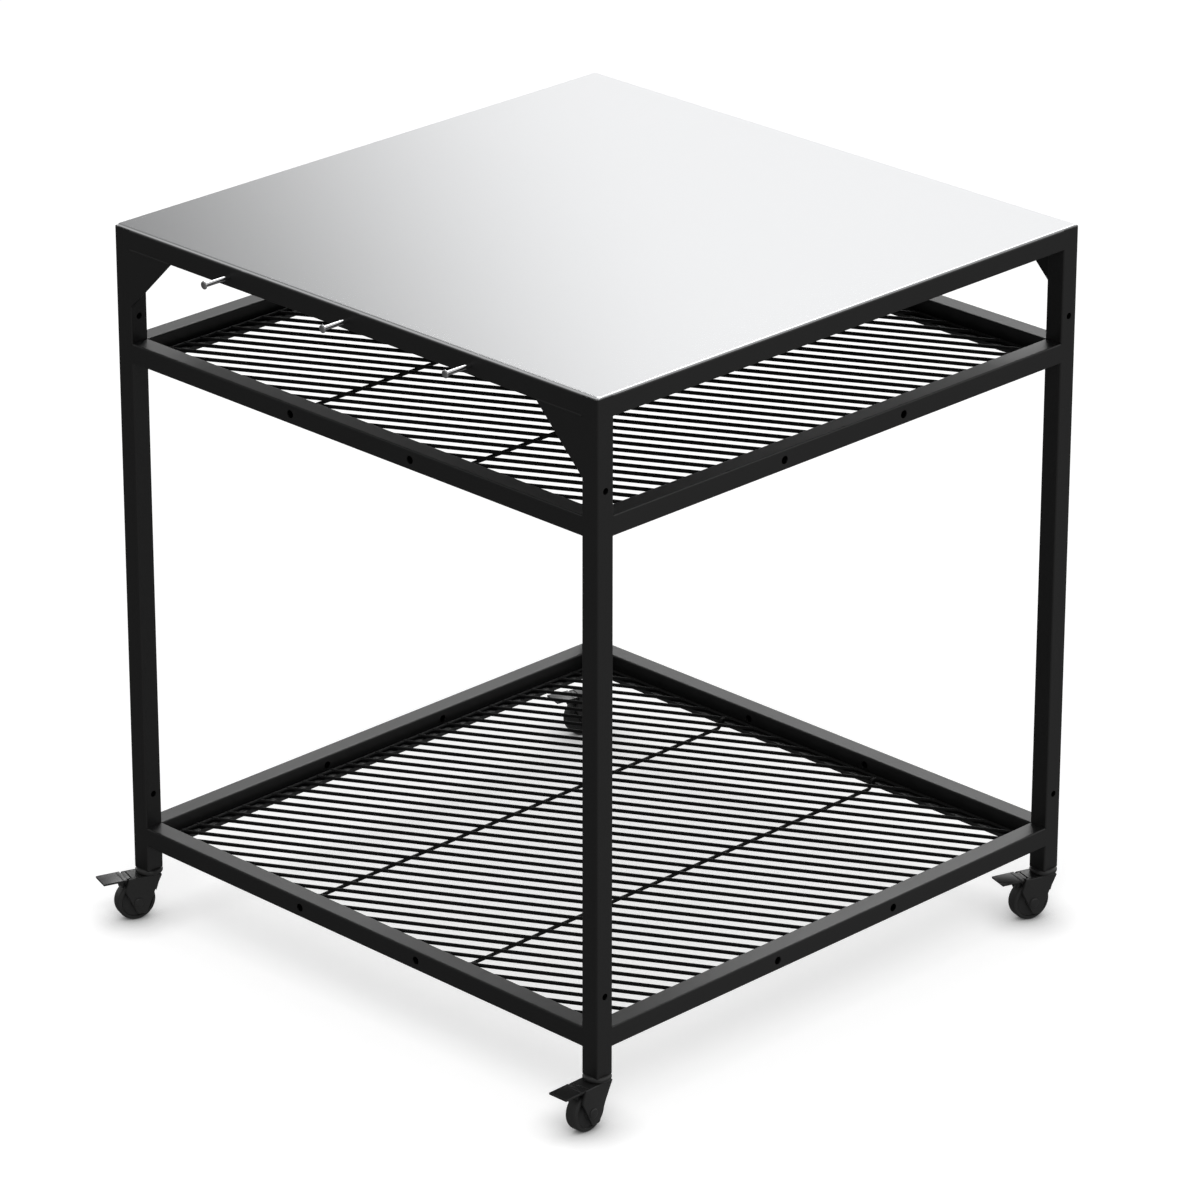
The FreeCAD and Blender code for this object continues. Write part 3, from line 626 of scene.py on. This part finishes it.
@dataclass
class GroundWelds:
    """Welds at the rail ends, ground flush with the tubes, and the bead above each gusset."""

    tube_corner: float = 2 * MM
    end_margin: float = 0.8 * MM
    bead_radius: float = 1.5 * MM
    bead_proud: float = 0.35 * MM
    bead_rise: float = 0.6 * MM
    bead_segments: int = 16

    def build(self) -> None:
        """Fill the groove between each rail or gusset and the leg's rounded corner."""
        welds = []
        for side in SIDES:
            for rail in RAILS:
                welds += self._rail_ends(side, *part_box(f"{rail}_{side}"))
        for corner in CORNERS:
            welds += self._gusset(*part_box(f"gusset_{corner}"))
        add_piece("ground_welds", welds, 30.0, FRAME_COAT, "table")

    def _strip(self, along: float, outer: float, facing: Axis, low: float, high: float) -> np.ndarray:
        """One filled groove: seen along the leg, a square corner less a quarter circle.

        Args:
            along: place of the rail's end along the rail, signed.
            outer: place of the outer face, signed.
            facing: the axis that the outer face looks along.
            low: the lower end.
            high: the upper end.

        Returns:
            Its rings.
        """
        radius = self.tube_corner
        section = np.vstack([[(0.0, 0.0)], arc((radius, radius), radius, 270, 180, steps=7)])
        first = along + math.copysign(1, along) * section[:, 0]
        second = outer - math.copysign(1, outer) * section[:, 1]
        flat = np.stack([first, second] if facing is Axis.Y else [second, first], axis=1)
        return np.stack([to_axis(flat, low, Axis.Z), to_axis(flat, high, Axis.Z)])

    def _rail_ends(self, side: str, low: Vector, high: Vector) -> list[np.ndarray]:
        """Both ends of one rail.

        Args:
            side: the rail's side of the table.
            low: the rail's low corner.
            high: the rail's high corner.

        Returns:
            The rings of both welds.
        """
        facing = Axis.Y if side in ("front", "rear") else Axis.X
        outer = (low if side in ("front", "left") else high)[facing.value]
        run = 1 - facing.value
        foot, head = low.z + self.end_margin, high.z - self.end_margin
        return [self._strip(along, outer, facing, foot, head) for along in (low[run], high[run])]

    def _gusset(self, low: Vector, high: Vector) -> list[np.ndarray]:
        """The upright seam beside the leg, and a bead under the rail.

        Args:
            low: the gusset's low corner.
            high: its high corner.

        Returns:
            The rings of both welds.
        """
        outer = low.y if low.y < 0 else high.y
        near_leg, tip = (low.x, high.x) if low.x < 0 else (high.x, low.x)
        depth = outer - math.copysign(1, outer) * (self.bead_radius - self.bead_proud)
        ends = np.array([(x, depth, high.z + self.bead_rise) for x in (near_leg, tip)])
        bead = swept(ends, UP, self.bead_radius, self.bead_segments)
        return [self._strip(near_leg, outer, Axis.Y, low.z, high.z), bead]


@dataclass
class Worktop:
    """The stainless sheet: flat top, bent edge and a hem folded under."""

    bend_radius: float = 3 * MM
    bend_steps: int = 9
    bend_margin: float = 0.8 * MM
    corner_radius: float = 4 * MM
    side_squeeze: float = 0.35
    sheet: float = 1.2 * MM
    foot_cut: Pair = (0.3 * MM, 0.6 * MM)
    hem: float = 20 * MM
    hem_cut: Pair = (1 * MM, 0.1 * MM)
    flat_margin: float = 30 * MM

    def build(self) -> None:
        """Rings from the flat top over the bent edge, down the side and back under the hem.

        The bend is a quarter circle: at angle a it lies radius * (1 - sin a) inside the outline and
        radius * (1 - cos a) below the top. The cuts are small slopes at the side's foot and the hem's end.
        """
        low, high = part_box("worktop")
        radius = self.bend_radius
        under = high.z - self.sheet
        section = [(radius + self.bend_margin, high.z)]
        section += [(radius * (1 - math.sin(a)), high.z - radius * (1 - math.cos(a)))
                    for a in np.radians(np.linspace(0, 90, self.bend_steps))]
        section += [(0.0, low.z + self.foot_cut[1]), (self.foot_cut[0], low.z), (self.hem, low.z),
                    (self.hem, under - self.hem_cut[1]), (self.hem + self.hem_cut[0], under)]
        corners = [(low.x, low.y), (high.x, low.y), (high.x, high.y), (low.x, high.y)]
        outline = rounded([(x, y, self.corner_radius) for x, y in corners], steps=7)
        centre = np.array([(low.x + high.x) / 2, (low.y + high.y) / 2])
        flat = (outline - centre) * (1 - 2 * self.flat_margin / (high.x - low.x)) + centre
        rings = [to_axis(flat, high.z, Axis.Z)]
        for distance, height in section:
            rings.append(to_axis(self._drawn_in(outline, centre, distance), height, Axis.Z))
        add_piece("worktop_sheet", [np.stack(rings)], 50.0, TOP_STEEL, "table", "worktop")

    def _drawn_in(self, outline: np.ndarray, centre: np.ndarray, distance: float) -> np.ndarray:
        """The outline drawn in by a distance, shrunk about the centre.

        The left and right sides are bent more sharply: there the bend's part of the distance counts for less.

        Args:
            outline: the sheet's outline.
            centre: its middle.
            distance: how far it is drawn in.

        Returns:
            The smaller outline.
        """
        half = np.abs(outline - centre).max(axis=0)
        bent = min(distance, self.bend_radius)
        reach = np.array([distance - bent + self.side_squeeze * bent, distance])
        return centre + (outline - centre) * (1 - reach / half)


@dataclass
class Grate:
    """A welded wire grate: rim, slanted wires, weld beads and two hanging stiffening wires."""

    shelf: str
    rim_radius: float = 2.3 * MM
    wire_radius: float = 2.3 * MM
    stay_radius: float = 2.25 * MM
    pitch: float = 25 * MM
    slant_degrees: float = 30.0
    rim_bend: float = 10 * MM
    stay_offset: float = 130 * MM
    stay_drop: float = 10.2 * MM
    stay_bend: float = 4 * MM
    ledge_edge: float = 357 * MM
    stay_ledge_gap: float = 3.5 * MM
    bead_height: float = 2.9 * MM
    bead_spread: float = 1.25
    segments: int = 16

    def build(self) -> None:
        """Gather rim, wires, stays and weld beads in one piece; each bead is a turned lens."""
        _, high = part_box(f"{self.shelf}_grate")
        self.half = high.x - self.rim_radius
        self.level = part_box(f"{self.shelf}_ledge_front")[1].z + self.rim_radius
        ends = self._wire_ends()
        lens = arc((0, 0), self.bead_height, -75, 75, steps=5) * (self.bead_spread, 1)
        parts = [swept(self._rim_path(), UP, self.rim_radius, self.segments, closed=True)]
        parts += [swept(pair, UP, self.wire_radius, self.segments) for pair in ends]
        for side in (-1, 1):
            parts.append(swept(self._stay_path(side), (1.0, 0.0, 0.0), self.stay_radius, self.segments))
        parts += [turned(lens, centre, Axis.Z, segments=10) for centre in ends.reshape(-1, 3)]
        add_piece(f"{self.shelf}_grate_wires", parts, 40.0, GRATE_COAT, "table", f"{self.shelf}_grate")

    def _rim_path(self) -> np.ndarray:
        """A square with bent corners, through the rim wire's axis.

        Returns:
            Its points.
        """
        half = self.half
        corners = [(-half, -half), (half, -half), (half, half), (-half, half)]
        return to_axis(rounded([(x, y, self.rim_bend) for x, y in corners], steps=9), self.level, Axis.Z)

    def _wire_ends(self) -> np.ndarray:
        """Where the lines y = slope * x + offset, one pitch apart, meet the rim's square.

        Returns:
            Wires by 2 ends by 3.
        """
        slope = math.tan(math.radians(self.slant_degrees))
        count = math.ceil(self.half * (1 + slope) / self.pitch)
        offset = self.pitch * (np.arange(-count, count) + 0.5)
        left = np.maximum(-self.half, (-self.half - offset) / slope)
        right = np.minimum(self.half, (self.half - offset) / slope)
        kept = right - left > 2 * self.rim_bend
        x = np.stack([left, right], axis=1)[kept]
        y = slope * x + offset[kept, None]
        return np.stack([x, y, np.full(x.shape, self.level)], axis=2)

    def _stay_path(self, side: int) -> np.ndarray:
        """Over the ledge, down by the drop, across and up again, with an arc at each bend.

        Args:
            side: -1 for the left wire, 1 for the right one.

        Returns:
            The points of its axis.
        """
        bend_at = self.ledge_edge - self.stay_ledge_gap
        left = [(-self.half, self.level), (-bend_at, self.level), (-bend_at, self.level - self.stay_drop)]
        line = left + [(-y, z) for y, z in reversed(left)]
        return to_axis(open_bends(line, self.stay_bend, steps=6), side * self.stay_offset, Axis.X)


@dataclass
class ToolPegs:
    """Three polished pegs with domed heads on the front top rail, and their nuts behind it."""

    shank_radius: float = 3 * MM
    thread_root: float = 0.84
    thread_end: float = 0.7
    thread_pitch: float = 1 * MM
    fillet: float = 0.4 * MM
    head_radius: float = 5 * MM
    head_length: float = 2.5 * MM
    head_edge: float = 0.3 * MM
    head_side: float = 0.35
    nut_flats: float = 10 * MM
    nut_height: float = 5 * MM
    nut_rim: float = 0.5 * MM

    def build(self) -> None:
        """One piece for each peg and one for the nuts, against the inner face of the rail."""
        inner_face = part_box("top_rail_front")[1].y
        for name in PEGS:
            self._peg(name, inner_face)
        nuts = [self._nut(name, inner_face) for name in PEGS]
        add_piece("peg_nuts_hexagon", nuts, 25.0, PLATED_STEEL, "table", "peg_nuts")

    @staticmethod
    def _middle(name: str) -> Pair:
        """A peg's axis, as X and Z."""
        low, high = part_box(f"tool_peg_{name}")
        return (low.x + high.x) / 2, (low.z + high.z) / 2

    def _peg(self, name: str, thread_start: float) -> None:
        """A turned peg: a thread behind the rail, a plain shank and a domed head.

        Args:
            name: the peg's place.
            thread_start: where the thread begins, along Y.
        """
        low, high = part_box(f"tool_peg_{name}")
        x, z = self._middle(name)
        shank = self.shank_radius
        head_back = low.y + self.head_length
        profile = [(shank * self.thread_end, high.y)]
        for turn in range(int((high.y - thread_start) / self.thread_pitch), 0, -1):
            place = thread_start + turn * self.thread_pitch
            profile += [(shank * self.thread_root, place), (shank, place - self.thread_pitch / 2)]
        profile += [
            (shank, thread_start),
            (shank, head_back + self.fillet),
            (shank + self.fillet, head_back),
            (self.head_radius - self.head_edge, head_back),
            (self.head_radius, head_back - self.head_edge),
        ]
        profile += dome(self.head_radius, head_back, -self.head_length, self.head_side, end=80, steps=7)
        rings = turned(profile, (x, 0.0, z), Axis.Y, segments=32)
        add_piece(f"tool_peg_{name}_turned", [rings], 40.0, PEG_STEEL, "table", f"tool_peg_{name}")

    def _nut(self, name: str, seat: float) -> np.ndarray:
        """A hexagon nut with rounded rims; seat is its face along Y."""
        outline = circle(self.nut_flats / math.sqrt(3), 6) + self._middle(name)
        return plate(outline, seat, seat + self.nut_height, self.nut_rim)


@dataclass
class WorktopScrews:
    """Pan-head screws under the top rails."""

    shank: Pair = (2.4 * MM, 24 * MM)
    head_radius: float = 4.5 * MM
    head_height: float = 3 * MM
    head_side: float = 0.4
    recess_radius: float = 1.6 * MM
    recess_taper: float = 0.95
    recess_depth: float = 1.4 * MM
    rail_middle: float = 387.5 * MM
    offset: float = 300 * MM

    def build(self) -> None:
        """A screw at each of two places under each rail."""
        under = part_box("worktop_screws")[0].z + self.head_height
        places = [(side * self.rail_middle, hand * self.offset) for side in (-1, 1) for hand in (-1, 1)]
        centres = [(x, y, under) for x, y in places] + [(y, x, under) for x, y in places]
        screws = [turned(self._profile(), centre, Axis.Z, segments=24) for centre in centres]
        add_piece("worktop_screw_heads", screws, 40.0, PLATED_STEEL, "table", "worktop_screws")

    def _profile(self) -> list[Pair]:
        """Shank above the rail's underside, then the head's dome and its recess below it.

        Returns:
            Radii and heights.
        """
        radius, length = self.shank
        head = dome(self.head_radius, 0.0, -self.head_height, self.head_side, end=60, steps=6)
        bottom = head[-1][1]
        inner = self.recess_radius * self.recess_taper
        recess = [(self.recess_radius, bottom), (inner, bottom + self.recess_depth)]
        return [(radius, length), (radius, 0), (self.head_radius, 0)] + head + recess


@dataclass
class Caster:
    """One swivel caster, in millimetres, drawn about its own swivel axis with X along its trail."""

    corner: str
    sharp_degrees: float = 38.0
    trail: float = 20.0
    wheel_radius: float = 25.0
    wheel_width: float = 17.0
    shoulder: float = 3.5
    web_depth: float = 2.8
    hub_half: float = 9.7
    hub_radius: float = 8.0
    hub_edge: float = 0.6
    axle_radius: float = 4.0
    axle_head: float = 6.5
    axle_side: float = 0.25
    axle_dome: float = 2.0
    fork_half: float = 14.0
    fork_rim: float = 1.2
    slot_half: float = 10.0
    slot_radius: float = 27.2
    hood_height: float = 58.5
    hood_span: Pair = (-32.5, 12.0)
    hood_lip: float = 6.7
    back: Pair = (21.3, 11.0)
    brow: Pair = (16.6, 16.6)
    tip_span: Pair = (10.5, 1.0)
    tip_drop: float = 15.5
    pin_radius: float = 5.0
    rivet_radius: float = 7.0
    rivet_span: Pair = (49.0, 52.0)
    cap_foot: float = 58.8
    cap_radius: float = 17.0
    # The rolled rim's points, from the cap's radius and from its foot.
    cap_rim: Sequence[Pair] = ((-2.2, 0.0), (-1.2, 0.3), (-0.3, 1.1), (0.0, 2.0), (0.0, 3.2), (-0.5, 4.6))
    leg_bottom: float = 65.5
    pivot_reach: float = 30.5
    pivot_height: float = 52.5
    pivot_pin: Pair = (1.5, 13.5)
    pedal_start: float = 3.8
    pedal_reach: float = 65.0
    pedal_rise: float = 6.5
    pedal_thickness: float = 2.5
    crease_start: float = 5.0
    crease_half: float = 0.6
    crease_depth: float = 0.5
    # Corners of the pedal's root and shoe as seen from the pivot, with the radius of each.
    root: Sequence[Place] = ((-3.2, -2.0, 2.5), (-3.2, 6.2, 2.0), (4.6, 6.0, 0.3), (4.6, -2.0, 2.5))
    root_half: float = 9.6
    shoe: Sequence[Place] = ((2.0, 0.0, 0.5), (9.0, 5.2, 0.5), (9.0, -5.5, 0.8), (6.5, -6.5, 0.8))
    shoe_half: float = 7.0

    def build(self) -> None:
        """Build the five pieces and put them under the leg."""
        swivel = joint(f"caster_swivel_{self.corner}")
        side_axis = joint(f"wheel_roll_{self.corner}")["axis"]
        heading = math.atan2(-side_axis[0], side_axis[1])
        place = Matrix.Translation((*swivel["pos_m"][:2], 0.0))
        self.placement = place @ Matrix.Rotation(heading, 4, "Z") @ Matrix.Scale(MM, 4)
        self._wheel()
        self._axle()
        self._fork()
        self._cap()
        self._pedal()

    def _add(self, name: str, parts: list[np.ndarray], finish: Finish, body: str, node: str) -> None:
        """Add a piece at the caster's own corner.

        Args:
            name: the piece's name without its corner.
            parts: the rings of each surface.
            finish: its finish.
            body: the body that it rides on.
            node: the node that it stands for, without its corner.
        """
        corner = self.corner
        add_piece(f"{name}_{corner}", parts, self.sharp_degrees, finish, body, f"{node}_{corner}",
                  placement=self.placement)

    def _wheel(self) -> None:
        """A turned wheel: hub, dished web, rim and a tread with rounded shoulders."""
        half = self.wheel_width / 2
        web = half - self.web_depth
        edge = self.hub_edge
        rim = self.wheel_radius - self.shoulder
        side = [
            (self.axle_radius + 0.1, self.hub_half),
            (self.hub_radius - edge, self.hub_half), (self.hub_radius, self.hub_half - edge),
            (self.hub_radius + 0.4, web + edge), (self.hub_radius + 2 * edge, web),
            (rim - 3.0, web), (rim - 2.2, web + 0.4), (rim - 1.6, half - 0.5), (rim - 1.0, half),
        ]
        upper = np.vstack([side, arc((rim, half - self.shoulder), self.shoulder, 90, 0, steps=7)])
        profile = np.vstack([upper, upper[::-1] * (1, -1), upper[:1]])
        rings = turned(profile, (self.trail, 0.0, self.wheel_radius), Axis.Y, segments=72)
        self._add("caster_wheel", [rings], WHEEL_RUBBER, f"wheel_body_{self.corner}", "wheel")

    def _axle(self) -> None:
        """A riveted axle with a low dome outside each cheek."""
        head = dome(self.axle_head, self.fork_half, self.axle_dome, self.axle_side, end=78, steps=6)
        upper = np.array([(self.axle_radius, self.fork_half), (self.axle_head, self.fork_half)] + head)
        profile = np.vstack([upper[::-1], upper * (1, -1)])
        rings = turned(profile, (self.trail, 0.0, self.wheel_radius), Axis.Y, segments=40)
        self._add("caster_axle", [rings], CASTER_PAINT, f"swivel_{self.corner}", "axle")

    def _fork(self) -> None:
        """Two tapered cheeks and the hood between them, as pressed steel with rounded rims."""
        trail = self.trail
        axle = self.wheel_radius
        tip = axle - self.tip_drop
        cheek = rounded([
            (trail + self.hood_span[0], self.hood_height, 1.5),
            (trail - self.back[0], axle + self.back[1], 8.0),
            (trail - self.tip_span[0], tip, 4.0),
            (trail + self.tip_span[1], tip, 4.0),
            (trail + self.brow[0], axle + self.brow[1], 3.0),
            (trail + self.hood_span[1], self.hood_height, 2.0),
        ], steps=7)
        top = self.hood_height - 0.02
        back, front = trail + self.hood_span[0] + 0.7, trail + self.hood_lip
        arch = arc((trail, axle), self.slot_radius, 52, 156, steps=22)
        arch = arch[arch[:, 0] <= front + 0.1]
        hood = np.vstack([arch, [
            (back, top - 1.0), (back + 1.0, top), (front - 0.4, top), (front, top - 0.4),
            (front, axle + self.slot_radius),
        ]])
        inner = self.slot_half + self.fork_rim / 2
        parts = [
            plate(cheek, self.slot_half, self.fork_half, self.fork_rim),
            plate(cheek, -self.fork_half, -self.slot_half, self.fork_rim),
            plate(hood, -inner, inner, rim=0.05, steps=2),
        ]
        self._add("caster_fork", parts, CASTER_PAINT, f"swivel_{self.corner}", "fork")

    def _cap(self) -> None:
        """The rivet head, the swivel pin and the bearing cap with its rolled rim, under the leg."""
        cap = self.cap_radius
        foot = self.cap_foot
        rivet_low, rivet_high = self.rivet_span
        rings = turned([
            (self.rivet_radius - 0.5, rivet_low),
            (self.rivet_radius, rivet_low + 0.5),
            (self.rivet_radius, rivet_high),
            (self.pin_radius, rivet_high),
            (self.pin_radius, foot),
            *((cap + across, foot + up) for across, up in self.cap_rim),
            (cap - 1.6, self.leg_bottom - 0.7),
            (cap - 3.0, self.leg_bottom),
        ], (0.0, 0.0, 0.0), Axis.Z, segments=48)
        self._add("caster_cap", [rings], CASTER_PAINT, "table", "caster_plug")

    def _pedal(self) -> None:
        """A brake pedal: a creased plate with rounded rims, and root, shoe and pin between the cheeks."""
        reach = self.pivot_reach
        height = self.pivot_height
        tip = self.pedal_reach
        level = height + self.pedal_rise
        under = level - self.pedal_thickness
        start = reach + self.pedal_start
        crease = start + self.crease_start
        top = [(start, level), (crease - self.crease_half, level), (crease, level - self.crease_depth),
               (crease + self.crease_half, level), (tip, level)]
        outline = [(x, z, 0.2) for x, z in top] + [(x, under, 0.4) for x in (tip, start)]
        pivot = np.array((reach, height, 0.0))
        radius, half = self.pivot_pin
        parts = [
            plate(rounded(outline, steps=4), -self.fork_half, self.fork_half, rim=0.8),
            plate(rounded(pivot + self.root, steps=6), -self.root_half, self.root_half, rim=0.4),
            plate(rounded(pivot + self.shoe, steps=4), -self.shoe_half, self.shoe_half, rim=0.3),
            turned([(radius, -half), (radius, half)], (reach, 0.0, height), Axis.Y, segments=20),
        ]
        self._add("caster_pedal", parts, PEDAL_PAINT, f"pedal_body_{self.corner}", "brake_pedal")


@dataclass
class PhotoCamera:
    """The photograph's viewpoint, in metres and degrees."""

    place: Place = (4.8922, -4.9139, 3.3873)
    yaw: float = 44.8377
    elevation: float = 23.1718
    roll: float = 0.0671
    lens: float = 188.04
    sensor: float = 36.0
    clip_end: float = 100.0

    def build(self) -> None:
        """Put the camera there and look along the three angles."""
        yaw, elevation, roll = (math.radians(angle) for angle in (self.yaw, self.elevation, self.roll))
        level = math.cos(elevation)
        back = Vector((math.sin(yaw) * level, -math.cos(yaw) * level, math.sin(elevation)))
        side = Vector((math.cos(yaw), math.sin(yaw), 0.0))
        rise = back.cross(side)
        right = math.cos(roll) * side + math.sin(roll) * rise
        up = math.cos(roll) * rise - math.sin(roll) * side
        data = bpy.data.cameras.new("photo_camera")
        data.lens = self.lens
        data.sensor_width = self.sensor
        data.clip_end = self.clip_end
        camera = placed("photo_camera", data)
        turn = Matrix((right, up, back)).transposed().to_4x4()
        camera.matrix_world = Matrix.Translation(self.place) @ turn
        bpy.context.scene.camera = camera


@dataclass(frozen=True)
class StudioSky:
    """The studio as reflections see it: a grey level by height and by the turn from the screen's middle.

    A white wall has a window high up. A dark screen stands before it, with a bright slit near its right edge,
    and a grey wall follows past its left edge. The roof is grey, and the ground is dark, with a strip of
    footlight at its far edge. Edges are in degrees, from where a part starts to show to where it shows fully;
    only foot_side counts the direction's part towards the rear left. The screen's right edge leans by lean
    radians for each unit of the direction's Z above lean_level.
    """

    white: float = 1.0
    window: float = 7.0
    window_edge: Pair = (29.0, 38.0)
    window_side: Pair = (-62.0, -46.0)
    slit: float = 6.8
    slit_foot: Pair = (29.5, 32.0)
    slit_head: Pair = (47.0, 50.0)
    slit_end: Pair = (-17.5, -12.0)
    screen: float = 0.24
    screen_azimuth: float = 155.0
    right_edge: Pair = (-20.8, -14.3)
    left_edge: Pair = (14.0, 36.0)
    lean: float = 0.6
    lean_level: float = 0.337
    left_wall: float = 0.45
    roof: float = 0.75
    roof_edge: Pair = (48.0, 60.0)
    ground_left: float = 0.085
    ground_right: float = 0.34
    horizon: Pair = (9.0, 14.0)
    footlight: float = 2.0
    foot: Pair = (-3.0, 1.0)
    foot_side: Pair = (0.3, 0.7)

    def level(self, graph: Graph, direction: Wire) -> Wire:
        """The grey that a reflected ray meets.

        Args:
            graph: the world's graph.
            direction: the ray's direction.

        Returns:
            The level, 1 for white.
        """
        parts = graph.add("SeparateXYZ", {0: direction})
        x, y, z = (parts.out(name) for name in ("X", "Y", "Z"))
        middle = math.radians(self.screen_azimuth)
        ahead = x * math.cos(middle) + y * math.sin(middle)
        aside = y * math.cos(middle) - x * math.sin(middle)
        turn = aside.angle_from(ahead)
        lit = self._above(z, self.window_edge) * self._past(turn, self.window_side)
        bright = lit * (self.window - self.white) + self.white
        slit = self._above(z, self.slit_foot) - self._above(z, self.slit_head)
        slit = slit - slit * self._past(turn, self.slit_end)
        screen = slit * (self.slit - self.screen) + self.screen
        inside = self._past(turn + (z - self.lean_level) * self.lean, self.right_edge)
        beyond = self._past(turn, self.left_edge)
        wall = bright + inside * (screen - bright) + beyond * (self.left_wall - screen)
        upper = wall + self._above(z, self.roof_edge) * (self.roof - wall)
        ground = (x * 0.5 + 0.5) * (self.ground_right - self.ground_left) + self.ground_left
        behind = ((y - x) * math.sqrt(0.5)).eased(*self.foot_side)
        low = ground + self._above(z, self.foot) * behind * (self.footlight - ground)
        return low + self._above(z, self.horizon) * (upper - low)

    @staticmethod
    def _above(height: Wire, edge: Pair) -> Wire:
        """How far the direction's Z has passed the sines of two heights in degrees."""
        return height.eased(*(math.sin(math.radians(angle)) for angle in edge))

    @staticmethod
    def _past(turn: Wire, edge: Pair) -> Wire:
        """How far a turn in radians has passed two angles in degrees."""
        return turn.eased(*(math.radians(angle) for angle in edge))


@dataclass
class Studio:
    """Pale floor, a world that is white to the camera, and soft lamps."""

    sky: StudioSky = StudioSky()
    floor_radius: float = 6.0
    floor_sides: int = 144
    floor_level: float = 0.7
    floor_lift: float = 0.53
    contact_shadow_reach: float = 0.06
    fill: float = 0.6
    # Each lamp's name, place, power in watts and side in metres.
    lamps: Sequence[tuple[str, Place, float, float]] = (
        ("key", (2.5, -2.2, 3.4), 60.0, 2.0),
        ("overhead", (-0.3, 0.1, 4.2), 36.0, 3.0),
    )
    aim: Place = (0.0, 0.0, 0.45)

    def build(self) -> None:
        """Make world, floor and lamps."""
        self._world()
        self._floor()
        for lamp in self.lamps:
            self._lamp(*lamp)
        bpy.context.scene.view_settings.view_transform = "Standard"

    def _world(self) -> None:
        """White to the camera, the studio sky to reflections and an even fill to everything else."""
        world = bpy.data.worlds.new("studio")
        bpy.context.scene.world = world
        graph = Graph(world)
        path = graph.add("LightPath", {})
        level = self.sky.level(graph, graph.add("TexCoord", {}).out("Generated"))
        reflected = graph.add("Background", {"Color": level, "Strength": 1.0})
        plain = graph.add("Background", {"Color": WHITE, "Strength": self.fill})
        white = graph.add("Background", {"Color": WHITE, "Strength": 1.0})
        lit = graph.either(path.out("Is Glossy Ray"), plain, reflected)
        seen = (path.out("Is Camera Ray") + path.out("Is Transmission Ray")).clipped()
        graph.add("OutputWorld", {0: graph.either(seen, lit, white)})

    def _floor(self) -> None:
        """A disc that reflections don't see.

        To the camera it is white where no shadow falls, and clear from below. Near anything that touches it,
        a painted contact shadow darkens its colour and glow within the contact shadow reach.
        """
        points = to_axis(circle(self.floor_radius, self.floor_sides), 0.0, Axis.Z)
        mesh = bpy.data.meshes.new("floor")
        mesh.from_pydata(points.tolist(), [], [list(range(len(points)))])
        floor = placed("floor", mesh)
        made = bpy.data.materials.new("studio_floor")
        graph = Graph(made)
        # Painted contact shadow: an ambient occlusion mask darkens the floor's colour and its glow near
        # anything that touches it.
        near = graph.add("AmbientOcclusion", {"Distance": self.contact_shadow_reach}, samples=8).out("AO")
        matte = graph.add("BsdfDiffuse", {"Color": near * self.floor_level})
        glow = graph.add("Emission", {"Color": WHITE, "Strength": near * self.floor_lift})
        camera = graph.add("LightPath", {}).out("Is Camera Ray")
        seen = graph.either(camera, matte, graph.add("AddShader", {0: matte, 1: glow}))
        below = graph.add("NewGeometry", {}).out("Backfacing") * camera
        graph.add("OutputMaterial", {0: graph.either(below, seen, graph.add("BsdfTransparent", {}))})
        mesh.materials.append(made)
        floor.visible_glossy = False

    def _lamp(self, name: str, place: Place, power: float, width: float) -> None:
        """A square area lamp that points at the table's middle.

        Args:
            name: the lamp's name.
            place: where it hangs.
            power: in watts.
            width: its side in metres.
        """
        data = bpy.data.lights.new(name, "AREA")
        data.energy = power
        data.size = width
        lamp = placed(name, data)
        turn = (Vector(self.aim) - Vector(place)).to_track_quat("-Z", "Y").to_matrix().to_4x4()
        lamp.matrix_world = Matrix.Translation(place) @ turn
        lamp.visible_glossy = False


def main() -> None:
    """Build the camera, the studio and every sub-assembly in order."""
    logging.basicConfig(level=logging.INFO, format="%(message)s")
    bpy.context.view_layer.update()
    PhotoCamera().build()
    Studio().build()
    TubeFrame().build()
    GroundWelds().build()
    Worktop().build()
    for shelf in SHELVES:
        Grate(shelf).build()
    ToolPegs().build()
    WorktopScrews().build()
    for corner in CORNERS:
        Caster(corner).build()


if __name__ == "__main__":
    main()
